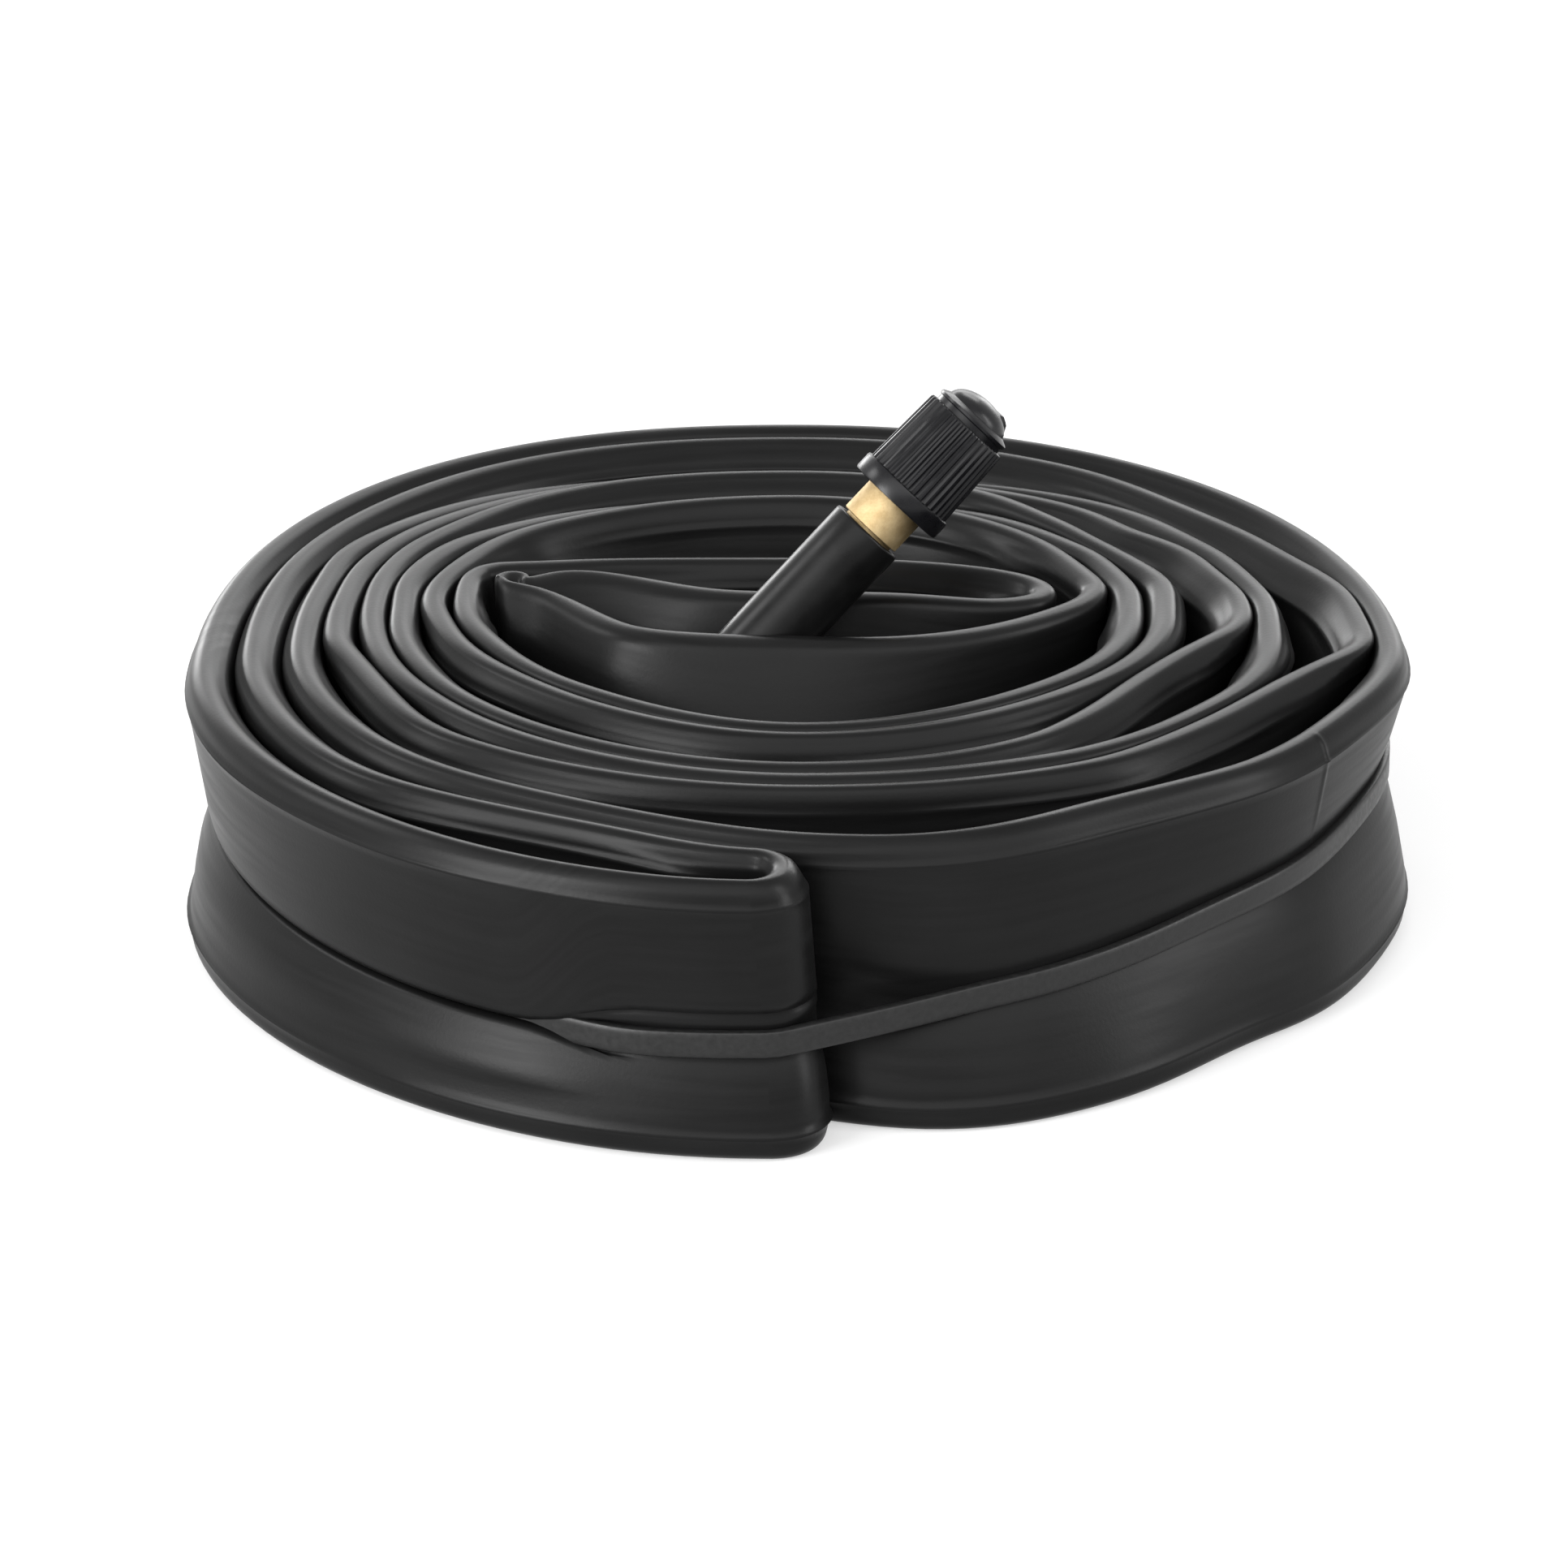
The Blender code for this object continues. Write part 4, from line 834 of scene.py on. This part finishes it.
def make_band(waist, surface):
    """The band lies tight round the waist, so it crosses the step at the outer fold in a straight line."""
    outline = convex_outline(waist[:, XY])
    outline = np.vstack([outline, outline[:1]])
    total = lengths_along(outline)[-1]
    where = np.linspace(0, total, round(total / BAND_STEP), endpoint=False)
    middle = at_lengths(outline, where)
    out = right_of(middle)
    wave = sum(size * np.sin(2 * math.pi * count * where / total) for size, count in BAND_WAVES)
    lower = tuple((depth, -height) for depth, height in BAND_UPPER[-2::-1])
    columns = []
    for depth, height in BAND_UPPER + lower + ((0.0, 0.0),):
        xy = middle + out * (BAND_GAP + depth * BAND_THICKNESS)
        columns.append(np.c_[xy, band_height(middle) + wave + height * BAND_WIDTH / 2])
    points, faces = closed_strip(columns)
    band = add_mesh("band_strip", points.reshape(-1, 3), faces, surface, "tube", "band_rubber", "rubber_band")
    sharpen(band, degrees=50)


def circle(radius, height, segments):
    """Points of a circle round Z, or the one point on the axis."""
    angles = [2 * math.pi * k / segments for k in range(segments if radius > 0 else 1)]
    return [(radius * math.cos(angle), radius * math.sin(angle), height) for angle in angles]


def turned(profile, segments=TURNED_SEGMENTS):
    """Points and faces of a profile of (radius, height) turned round Z, and closed if it is off the axis."""
    circles = [circle(radius, height, segments) for radius, height in profile]
    rings = rings_of([len(points) for points in circles])
    return sum(circles, []), join_rings(rings, closed=profile[0][0] > 0)


def threaded(below, above, root, crest, pitch, turns, start, segments=TURNED_SEGMENTS):
    """A solid rod with a helical thread. Its profiles below and above start and end on the axis."""
    circles = [circle(radius, height, segments) for radius, height in below + above]
    rings = rings_of([len(points) for points in circles])
    points = sum(circles, [])
    faces = join_rings(rings[: len(below)]) + join_rings(rings[len(below) :])
    base, lid = rings[len(below) - 1], rings[len(below)]
    steps = turns * segments

    def helix(radius, share, count):
        first = len(points)
        for step in range(count):
            angle = 2 * math.pi * step / segments
            height = start + pitch * (step / segments + share)
            points.append((radius * math.cos(angle), radius * math.sin(angle), height))
        return range(first, len(points))

    valley = helix(root, 0, steps + segments + 1)
    rise = helix(root, FLAT_SHARE, steps + 1)
    ridge = helix(crest, 2 * FLAT_SHARE, steps + 1)
    fall = helix(crest, 3 * FLAT_SHARE, steps + 1)
    for k in range(steps):
        for low, high in ((valley, rise), (rise, ridge), (ridge, fall)):
            faces.append((low[k], low[k + 1], high[k + 1], high[k]))
        faces.append((fall[k], fall[k + 1], valley[k + 1 + segments], valley[k + segments]))
    for k in range(segments - 1):
        faces.append((base[k], base[k + 1], valley[k + 1], valley[k]))
    faces.append((base[-1], base[0], valley[0], rise[0], valley[segments], valley[segments - 1]))
    faces.append((rise[0], ridge[0], fall[0], valley[segments]))
    for k in range(1, segments):
        faces.append((valley[steps + k], valley[steps + k + 1], lid[(k + 1) % segments], lid[k]))
    faces.append((valley[steps], valley[steps + 1], lid[1], lid[0], valley[steps + segments], rise[steps]))
    faces.append((rise[steps], ridge[steps], fall[steps], valley[steps + segments]))
    return points, faces


def placed(place, shape):
    points, faces = shape
    return [place @ Vector(point) for point in points], faces


def make_jacket(place, surface):
    """The rubber sleeve on the stem, with a rounded top edge."""
    profile = [(JACKET_BORE, -JACKET_DEPTH)]
    for height in np.linspace(-JACKET_DEPTH, JACKET_TOP - CHAMFER, JACKET_RINGS, endpoint=False):
        profile.append((JACKET_RADIUS, height))
    for angle in np.radians(JACKET_EDGE_DEGREES):
        radius = JACKET_RADIUS - CHAMFER * (1 - math.cos(angle))
        profile.append((radius, JACKET_TOP - CHAMFER * (1 - math.sin(angle))))
    profile.append((JACKET_BORE, JACKET_TOP))
    shape = placed(place, turned(profile, JACKET_SEGMENTS))
    jacket = add_mesh("valve_jacket", *shape, surface, "tube", "moulded_rubber", "stem_jacket")
    sharpen(jacket, degrees=50)


def make_stem(place, surface):
    """The brass insert: thin inside the rubber, then a bare neck, then the thread for the cap."""
    step = JACKET_TOP + FIT_GAP
    root, crest, start = CAP_THREAD_ROOT, CAP_THREAD_CREST, CAP_THREAD_BOTTOM
    below = [
        (0, -JACKET_DEPTH),
        (INSERT_RADIUS, -JACKET_DEPTH),
        (INSERT_RADIUS, step),
        (NECK_RADIUS - CHAMFER / 3, step),
        (NECK_RADIUS, step + CHAMFER / 3),
        (NECK_RADIUS, start - CHAMFER),
        (root, start - CHAMFER / 2),
    ]
    above = [
        (root, start + (CAP_THREAD_TURNS + 1) * CAP_PITCH + CHAMFER / 2),
        (root, MOUTH - CHAMFER),
        (root - CHAMFER, MOUTH),
        (0, MOUTH),
    ]
    rod = placed(place, threaded(below, above, root, crest, CAP_PITCH, CAP_THREAD_TURNS, start))
    stem = add_mesh("brass_stem", *rod, surface, "tube", "brass", "stem_insert")
    root = CORE_THREAD_ROOT + THREAD_CLEARANCE
    crest = CORE_THREAD_CREST + THREAD_CLEARANCE
    start = PLUG_THREAD_BOTTOM - CORE_PITCH
    thread_top = start + (CORE_THREAD_TURNS + 1) * CORE_PITCH
    bore = [
        (0, -JACKET_DEPTH - WALL),
        (AIR_BORE, -JACKET_DEPTH - WALL),
        (AIR_BORE, CHAMBER_BOTTOM),
        (CHAMBER_RADIUS, CHAMBER_BOTTOM + CHAMFER),
        (CHAMBER_RADIUS, GASKET_BOTTOM - CHAMFER / 2),
        (SEAT_BOTTOM_RADIUS, GASKET_BOTTOM),
        (SEAT_TOP_RADIUS, GASKET_TOP),
        (root, GASKET_TOP + CHAMFER),
        (root, start - CHAMFER / 2),
    ]
    mouth = [
        (root, thread_top + CHAMFER / 2),
        (crest, thread_top + CHAMFER),
        (crest, MOUTH + WALL),
        (0, MOUTH + WALL),
    ]
    cut_away(stem, *placed(place, threaded(bore, mouth, root, crest, CORE_PITCH, CORE_THREAD_TURNS, start)))
    cut_round(stem, place, crest + THREAD_RELIEF, start + CORE_THREAD_TURNS * CORE_PITCH, MOUTH + WALL)
    sharpen(stem, degrees=35)


def cut_round(piece, place, radius, bottom, top):
    """Cuts a round hole along the valve's axis."""
    cut_away(piece, *placed(place, turned([(0, bottom), (radius, bottom), (radius, top), (0, top)])))


def make_spring(place, surface):
    """The core's coil spring: one fixed helix of wire from the barrel's lip up to the pin's collar."""
    low = BARREL_LIP_TOP + SPRING_GAP + SPRING_WIRE / 2
    high = PIN_COLLAR_BOTTOM - SPRING_GAP - SPRING_WIRE / 2
    count = SPRING_COILS * SPRING_SEGMENTS
    points = []
    for k in range(count + 1):
        angle = 2 * math.pi * k / SPRING_SEGMENTS
        for side in range(WIRE_SIDES):
            around = 2 * math.pi * side / WIRE_SIDES
            radius = SPRING_RADIUS + SPRING_WIRE / 2 * math.cos(around)
            height = low + (high - low) * k / count + SPRING_WIRE / 2 * math.sin(around)
            points.append(place @ Vector((radius * math.cos(angle), radius * math.sin(angle), height)))
    rings = rings_of([WIRE_SIDES] * (count + 1))
    faces = [tuple(rings[0]), tuple(rings[-1])] + join_rings(rings)
    spring = new_piece("coil_spring", points, faces, surface)
    sharpen(spring, degrees=60)
    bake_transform(spring)
    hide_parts("core_spring")


def cap_rows():
    """The cap's outline from its bottom to its tip: rows of radius, height and how deep the ribs are."""
    edge = CAP_ROUNDING
    rows = [
        (CAP_FLANGE_RADIUS - 2 * edge, CAP_BOTTOM, 0),
        (CAP_FLANGE_RADIUS - edge / 2, CAP_BOTTOM + edge / 2, 0),
        (CAP_FLANGE_RADIUS, CAP_BOTTOM + 2 * edge, 0),
        (CAP_FLANGE_RADIUS, CAP_FLANGE_TOP - 2 * edge, 0),
        (CAP_FLANGE_RADIUS - edge / 2, CAP_FLANGE_TOP - edge / 2, 0),
        (CAP_BODY_RADIUS + edge, CAP_FLANGE_TOP, 0),
        (CAP_BODY_RADIUS, CAP_FLANGE_TOP + edge / 2, CAP_RIB_DEPTH * CAP_RIB_FOOT),
        (CAP_BODY_RADIUS, CAP_FLANGE_TOP + 2 * edge, CAP_RIB_DEPTH),
    ]
    for share in CAP_RIB_RINGS:
        radius = CAP_BODY_RADIUS + (CAP_BODY_TOP_RADIUS - CAP_BODY_RADIUS) * share
        rows.append((radius, CAP_FLANGE_TOP + (CAP_BODY_TOP - CAP_FLANGE_TOP) * share, CAP_RIB_DEPTH))
    rows += [
        (CAP_BODY_TOP_RADIUS, CAP_BODY_TOP - 2 * edge, CAP_RIB_DEPTH),
        (CAP_BODY_TOP_RADIUS - edge, CAP_BODY_TOP - edge / 2, CAP_RIB_DEPTH * CAP_RIB_HEAD),
        (CAP_BODY_TOP_RADIUS - 3 * edge, CAP_BODY_TOP, 0),
        (CAP_GROOVE_RADIUS, CAP_BODY_TOP, 0),
        (CAP_GROOVE_RADIUS, CAP_GROOVE_TOP, 0),
        (CAP_DISC_RADIUS - edge, CAP_GROOVE_TOP, 0),
        (CAP_DISC_RADIUS, CAP_GROOVE_TOP + edge, 0),
        (CAP_DISC_RADIUS, CAP_DISC_TOP - edge, 0),
        (CAP_DISC_RADIUS - edge, CAP_DISC_TOP, 0),
    ]
    for k in range(1, DOME_STEPS):
        angle = k / DOME_STEPS * math.pi / 2
        height = CAP_DISC_TOP + (CAP_TIP - CAP_DISC_TOP) * math.sin(angle)
        rows.append((CAP_DOME_RADIUS * math.cos(angle), height, 0))
    return rows


def make_cap(place, surface):
    """The dust cap: a ribbed skirt on a flange, a groove, and a domed end with a lug, threaded inside."""
    count = CAP_RIBS * CAP_RIB_STEPS
    rows = cap_rows()
    angles = 2 * math.pi * np.arange(count) / count
    valley = np.clip(0.5 - CAP_RIB_SWING * np.cos(CAP_RIBS * angles), 0, 1)
    near_lug = np.abs(np.angle(np.exp(1j * angles))) < 2 * math.pi * CAP_LUG_HALF_TURN
    points = [(0, 0, CAP_BOTTOM)]
    for radius, height, depth in rows:
        size = radius - depth * valley
        raised = CAP_LUG_HEIGHT * near_lug * (CAP_LUG_FROM < height < CAP_LUG_TO)
        points += list(zip(size * np.cos(angles), size * np.sin(angles), height + raised))
    points.append((0, 0, CAP_TIP))
    faces = join_rings(rings_of([1] + [count] * len(rows) + [1]))
    cap = add_mesh("ribbed_cap", *placed(place, (points, faces)), surface, "cap", "black_plastic", "dust_cap")
    root = CAP_THREAD_ROOT + THREAD_CLEARANCE
    crest = CAP_THREAD_CREST + THREAD_CLEARANCE
    start = CAP_THREAD_BOTTOM
    skirt = [
        (0, CAP_BOTTOM - WALL),
        (crest, CAP_BOTTOM - WALL),
        (crest, start - CHAMFER),
        (root, start - CHAMFER / 2),
    ]
    room = [
        (root, start + (CAP_ENGAGED_TURNS + 1) * CAP_PITCH + CHAMFER / 2),
        (root, CAP_CEILING),
        (CAP_POCKET_RADIUS, CAP_CEILING),
        (CAP_POCKET_RADIUS, CAP_POCKET_TOP),
        (0, CAP_POCKET_TOP),
    ]
    cut_away(cap, *placed(place, threaded(skirt, room, root, crest, CAP_PITCH, CAP_ENGAGED_TURNS, start)))
    cut_round(cap, place, crest + THREAD_RELIEF, CAP_BOTTOM - WALL, start + CAP_PITCH)
    sharpen(cap, degrees=40)


def make_foot(route, outer_count, place, surface):
    """A domed rubber pad that follows the tube's rim-side wall, with a closed underside just off the wall."""
    stem_end = np.array(place @ Vector((0, 0, -JACKET_DEPTH)))
    near = np.flatnonzero(route[:outer_count, QUARTER] > QUARTER_TURNS - FOOT_QUARTERS)
    walls = tube_points(route[near], STRIP / 2, stem_end[2])
    root_row = near[np.linalg.norm(walls - stem_end, axis=1).argmin()]
    root = lengths_along(route)[root_row]
    angles = 2 * math.pi * np.arange(FOOT_SPOKES) / FOOT_SPOKES
    shares = np.arange(FOOT_ROUNDS + 1) / FOOT_ROUNDS
    dome = FOOT_RIM + FOOT_DOME * np.cos(shares * math.pi / 2) ** FOOT_DOME_POWER
    layers = []
    for lift in (0 * dome, dome):
        for share, rise in zip(shares, lift):
            spokes = angles if share else angles[:1]
            rows = at_lengths(route, root + share * FOOT_LENGTH / 2 * np.cos(spokes))
            rows[:, NORMAL] /= np.linalg.norm(rows[:, NORMAL], axis=1)[:, None]
            heights = stem_end[2] + share * FOOT_WIDTH / 2 * np.sin(spokes)
            layers.append(tube_points(rows, STRIP / 2 + FIT_GAP + rise, heights))
    rings = rings_of([len(layer) for layer in layers])
    under, over = rings[: len(shares)], rings[len(shares) :]
    faces = join_rings(under) + join_rings(over) + join_rings([under[-1], over[-1]])
    foot = add_mesh("valve_pad", np.vstack(layers), faces, surface, "tube", "moulded_rubber", "valve_foot")
    cut_round(foot, place, JACKET_RADIUS + FOOT_HOLE_GAP, -JACKET_DEPTH - FIT_GAP, 0)
    sharpen(foot, degrees=40)


def rgba(colour):
    """A colour or a grey level, with nothing showing through."""
    return (*colour, 1.0) if isinstance(colour, tuple) else (colour, colour, colour, 1.0)


def set_inputs(tree, node, values):
    """Gives inputs of a node their values, or links them to the outputs that are given for them."""
    for name, value in values.items():
        if isinstance(value, bpy.types.NodeSocket):
            tree.links.new(value, node.inputs[name])
        else:
            node.inputs[name].default_value = value
    return node


def add_node(tree, kind, values):
    return set_inputs(tree, tree.nodes.new("ShaderNode" + kind), values)


def new_material(name, colour, roughness, metallic=0.0, specular=0.5):
    """A material with a plain shader, and its node tree."""
    material = bpy.data.materials.new(name)
    material.use_nodes = True
    tree = material.node_tree
    shader = tree.nodes["Principled BSDF"]
    set_inputs(tree, shader, {"Base Color": rgba(colour), "Roughness": roughness})
    set_inputs(tree, shader, {"Metallic": metallic, "Specular IOR Level": specular})
    return material, tree, shader


def add_noise(tree, scale, detail, stretch=(1, 1, 1), uv=None):
    """A noise texture in metres, on the object's own coordinates or on a UV map."""
    if uv:
        source = tree.nodes.new("ShaderNodeUVMap")
        source.uv_map = uv
        vector = source.outputs["UV"]
    else:
        vector = tree.nodes.new("ShaderNodeTexCoord").outputs["Object"]
    mapping = add_node(tree, "Mapping", {"Vector": vector, "Scale": stretch})
    values = {"Vector": mapping.outputs["Vector"], "Scale": scale, "Detail": detail}
    return add_node(tree, "TexNoise", values).outputs["Fac"]


def add_ramp(tree, value, low, high, start=0.3, end=0.7):
    """Turns a value into a colour between two colours or grey levels."""
    ramp = add_node(tree, "ValToRGB", {"Fac": value})
    for stop, position, colour in zip(ramp.color_ramp.elements, (start, end), (low, high)):
        stop.position = position
        stop.color = rgba(colour)
    return ramp.outputs["Color"]


def add_bump(tree, shader, heights):
    """Adds up bumps from (height, distance in metres, strength)."""
    so_far = {}
    for height, distance, strength in heights:
        values = {"Height": height, "Distance": distance, "Strength": strength}
        bump = add_node(tree, "Bump", {**values, **so_far})
        so_far = {"Normal": bump.outputs["Normal"]}
    set_inputs(tree, shader, so_far)


def add_drift(tree, shader, tone, tones, wear, roughness):
    """Lets the colour and the roughness drift between two values each, with a noise for either."""
    drift = {"Base Color": add_ramp(tree, tone, *tones), "Roughness": add_ramp(tree, wear, *roughness)}
    set_inputs(tree, shader, drift)


def butyl_material():
    """Black butyl: matt, with faint streaks along the tube and a fine grain."""
    material, tree, shader = new_material("butyl", colour=0.008, roughness=0.36, specular=0.125)
    streaks = add_noise(tree, scale=1.0, detail=5.0, stretch=(60, 900, 1), uv="strip")
    blotches = add_noise(tree, scale=90.0, detail=3.0)
    grain = add_noise(tree, scale=2600.0, detail=2.0)
    mix = tree.nodes.new("ShaderNodeMix")
    mix.data_type = "RGBA"
    mix.blend_type = "MULTIPLY"
    streaked = add_ramp(tree, streaks, 0.006, (0.0085, 0.0085, 0.0086))
    set_inputs(tree, mix, {"Factor": 1.0, "A": streaked, "B": add_ramp(tree, blotches, 0.75, 1.0)})
    set_inputs(tree, shader, {"Base Color": mix.outputs["Result"]})
    set_inputs(tree, shader, {"Roughness": add_ramp(tree, streaks, 0.31, 0.41)})
    add_bump(tree, shader, [(streaks, 0.00004, 0.1), (grain, 0.00003, 0.3)])
    return material


def band_material():
    """The band's rubber: a cut strip, a little lighter than the tube."""
    material, tree, shader = new_material("band_rubber", colour=0.016, roughness=0.4, specular=0.3)
    grain = add_noise(tree, scale=1800.0, detail=3.0)
    add_drift(tree, shader, grain, (0.008, 0.014), grain, (0.34, 0.46))
    add_bump(tree, shader, [(grain, 0.00004, 0.4)])
    return material


def moulded_material():
    """The valve's rubber: smoother and blacker than the tube."""
    material, tree, shader = new_material("moulded_rubber", colour=0.005, roughness=0.31, specular=0.15)
    cloud = add_noise(tree, scale=260.0, detail=4.0)
    grain = add_noise(tree, scale=2400.0, detail=2.0)
    add_drift(tree, shader, cloud, (0.004, 0.007), cloud, (0.27, 0.35))
    add_bump(tree, shader, [(grain, 0.00002, 0.25)])
    return material


def plastic_material():
    """The cap's plastic: satin black."""
    dark, light = (0.004, 0.004, 0.005), (0.007, 0.007, 0.008)
    colour = (0.005, 0.005, 0.006)
    material, tree, shader = new_material("black_plastic", colour, roughness=0.26, specular=0.25)
    cloud = add_noise(tree, scale=700.0, detail=3.0)
    add_drift(tree, shader, cloud, (dark, light), cloud, (0.24, 0.33))
    add_bump(tree, shader, [(cloud, 0.00002, 0.2)])
    return material


def metal_material(name, dark, light, rough):
    """A turned metal with fine tool marks and a slight change of tone."""
    material, tree, shader = new_material(name, light, rough, metallic=1.0)
    tone = add_noise(tree, scale=900.0, detail=4.0)
    marks = add_noise(tree, scale=5400.0, detail=3.0)
    add_drift(tree, shader, tone, (dark, light), marks, (rough - METAL_SMOOTHER, rough + METAL_ROUGHER))
    add_bump(tree, shader, [(marks, 0.00002, 0.3)])
    return material


def seal_material():
    """Dull rubber of the seals inside the valve."""
    material, tree, shader = new_material("seal_rubber", colour=0.05, roughness=0.6)
    grain = add_noise(tree, scale=2200.0, detail=2.0)
    add_drift(tree, shader, grain, (0.035, 0.06), grain, (0.55, 0.68))
    return material


def dress_cad_nodes(surfaces):
    """Gives the CAD nodes that stay in view the finish of their slot."""
    for row in frame["record"]["subparts"]:
        node = frame["nodes"].get(row["node"])
        if node is None or not node.material_slots:
            continue
        for slot in node.material_slots:
            slot.material = surfaces[row["material_slot"]]


def point_at(item, place, target):
    item.location = place
    item.rotation_euler = (target - place).to_track_quat("-Z", "Y").to_euler()


def make_lamps():
    """Soft lamps at the left, the right and the back, and a broad one above the camera."""
    for name, (place, size, watts) in LAMPS.items():
        light = bpy.data.lights.new(name, "AREA")
        light.shape = "RECTANGLE"
        light.size, light.size_y = size
        light.energy = watts
        point_at(new_object(name, light), Vector(place), LAMP_TARGET)


def make_surround():
    """An even white surround, which is brighter where it is seen than where it lights the object."""
    world = bpy.data.worlds.new("surround")
    world.use_nodes = True
    tree = world.node_tree
    white = rgba(1.0)
    lighting = set_inputs(tree, tree.nodes["Background"], {"Color": white, "Strength": SURROUND_LIGHT})
    seen = add_node(tree, "Background", {"Color": white, "Strength": SURROUND_SEEN})
    both = {1: lighting.outputs["Background"], 2: seen.outputs["Background"]}
    mix = add_node(tree, "MixShader", {"Fac": seen_directly(tree), **both})
    set_inputs(tree, tree.nodes["World Output"], {"Surface": mix.outputs["Shader"]})
    bpy.context.scene.world = world


def seen_directly(tree):
    """1 for rays from the camera and for those that a mirror or a glass passes on, and 0 for the others."""
    path = tree.nodes.new("ShaderNodeLightPath")
    total = path.outputs["Is Camera Ray"]
    for name in ("Is Glossy Ray", "Is Transmission Ray"):
        add = add_node(tree, "Math", {0: total, 1: path.outputs[name]})
        add.operation = "ADD"
        add.use_clamp = True
        total = add.outputs["Value"]
    return total


def make_floor():
    """A plain white floor, wide enough to fill the view, that keeps the object's soft shadow."""
    mesh = bpy.data.meshes.new("floor")
    corners = [(-1, -1), (1, -1), (1, 1), (-1, 1)]
    mesh.from_pydata([(x * FLOOR_HALF, y * FLOOR_HALF, 0) for x, y in corners], [], [(0, 1, 2, 3)])
    floor = new_object("floor", mesh)
    material, tree, shader = new_material("floor", FLOOR_GREY, FLOOR_ROUGHNESS, specular=0.0)
    set_inputs(tree, shader, {"Emission Color": rgba(FLOOR_GLOW), "Emission Strength": seen_directly(tree)})
    mesh.materials.append(material)


def make_camera():
    camera = bpy.data.cameras.new("camera")
    camera.lens = CAMERA_LENS
    camera.sensor_width = CAMERA_SENSOR
    camera.clip_start = CAMERA_NEAREST
    camera.clip_end = CAMERA_FURTHEST
    view = new_object("camera", camera)
    point_at(view, CAMERA_PLACE, CAMERA_TARGET)
    bpy.context.scene.camera = view


def valve_place():
    """The valve's own axes: Z along the stem, from the point where it crosses the top of the roll."""
    joint = next(row for row in frame["record"]["behaviour"]["joints"] if row["name"] == "cap_turn")
    axis = Vector(joint["axis"]).normalized()
    heading = math.atan2(axis.y, axis.x)
    tilt = math.acos(axis.z)
    turned_axes = Matrix.Rotation(heading, 4, "Z") @ Matrix.Rotation(tilt, 4, "Y")
    return Matrix.Translation(Vector(joint["pos_m"])) @ turned_axes


def main():
    make_camera()
    surfaces = {
        "butyl": butyl_material(),
        "band_rubber": band_material(),
        "moulded_rubber": moulded_material(),
        "black_plastic": plastic_material(),
        "brass": metal_material("brass", (0.42, 0.31, 0.16), (0.54, 0.42, 0.24), 0.60),
        "steel": metal_material("steel", (0.42, 0.42, 0.43), (0.62, 0.62, 0.62), 0.30),
        "seal_rubber": seal_material(),
    }
    dress_cad_nodes(surfaces)
    place = valve_place()
    route, outer_count = tube_route(STEM_CROSSING - place.translation.xy)
    waist = make_tube(route, surfaces["butyl"])
    make_band(waist, surfaces["band_rubber"])
    make_foot(route, outer_count, place, surfaces["moulded_rubber"])
    make_jacket(place, surfaces["moulded_rubber"])
    make_stem(place, surfaces["brass"])
    make_spring(place, surfaces["steel"])
    make_cap(place, surfaces["black_plastic"])
    make_lamps()
    make_surround()
    make_floor()
    bpy.context.scene.view_settings.view_transform = "Standard"


main()
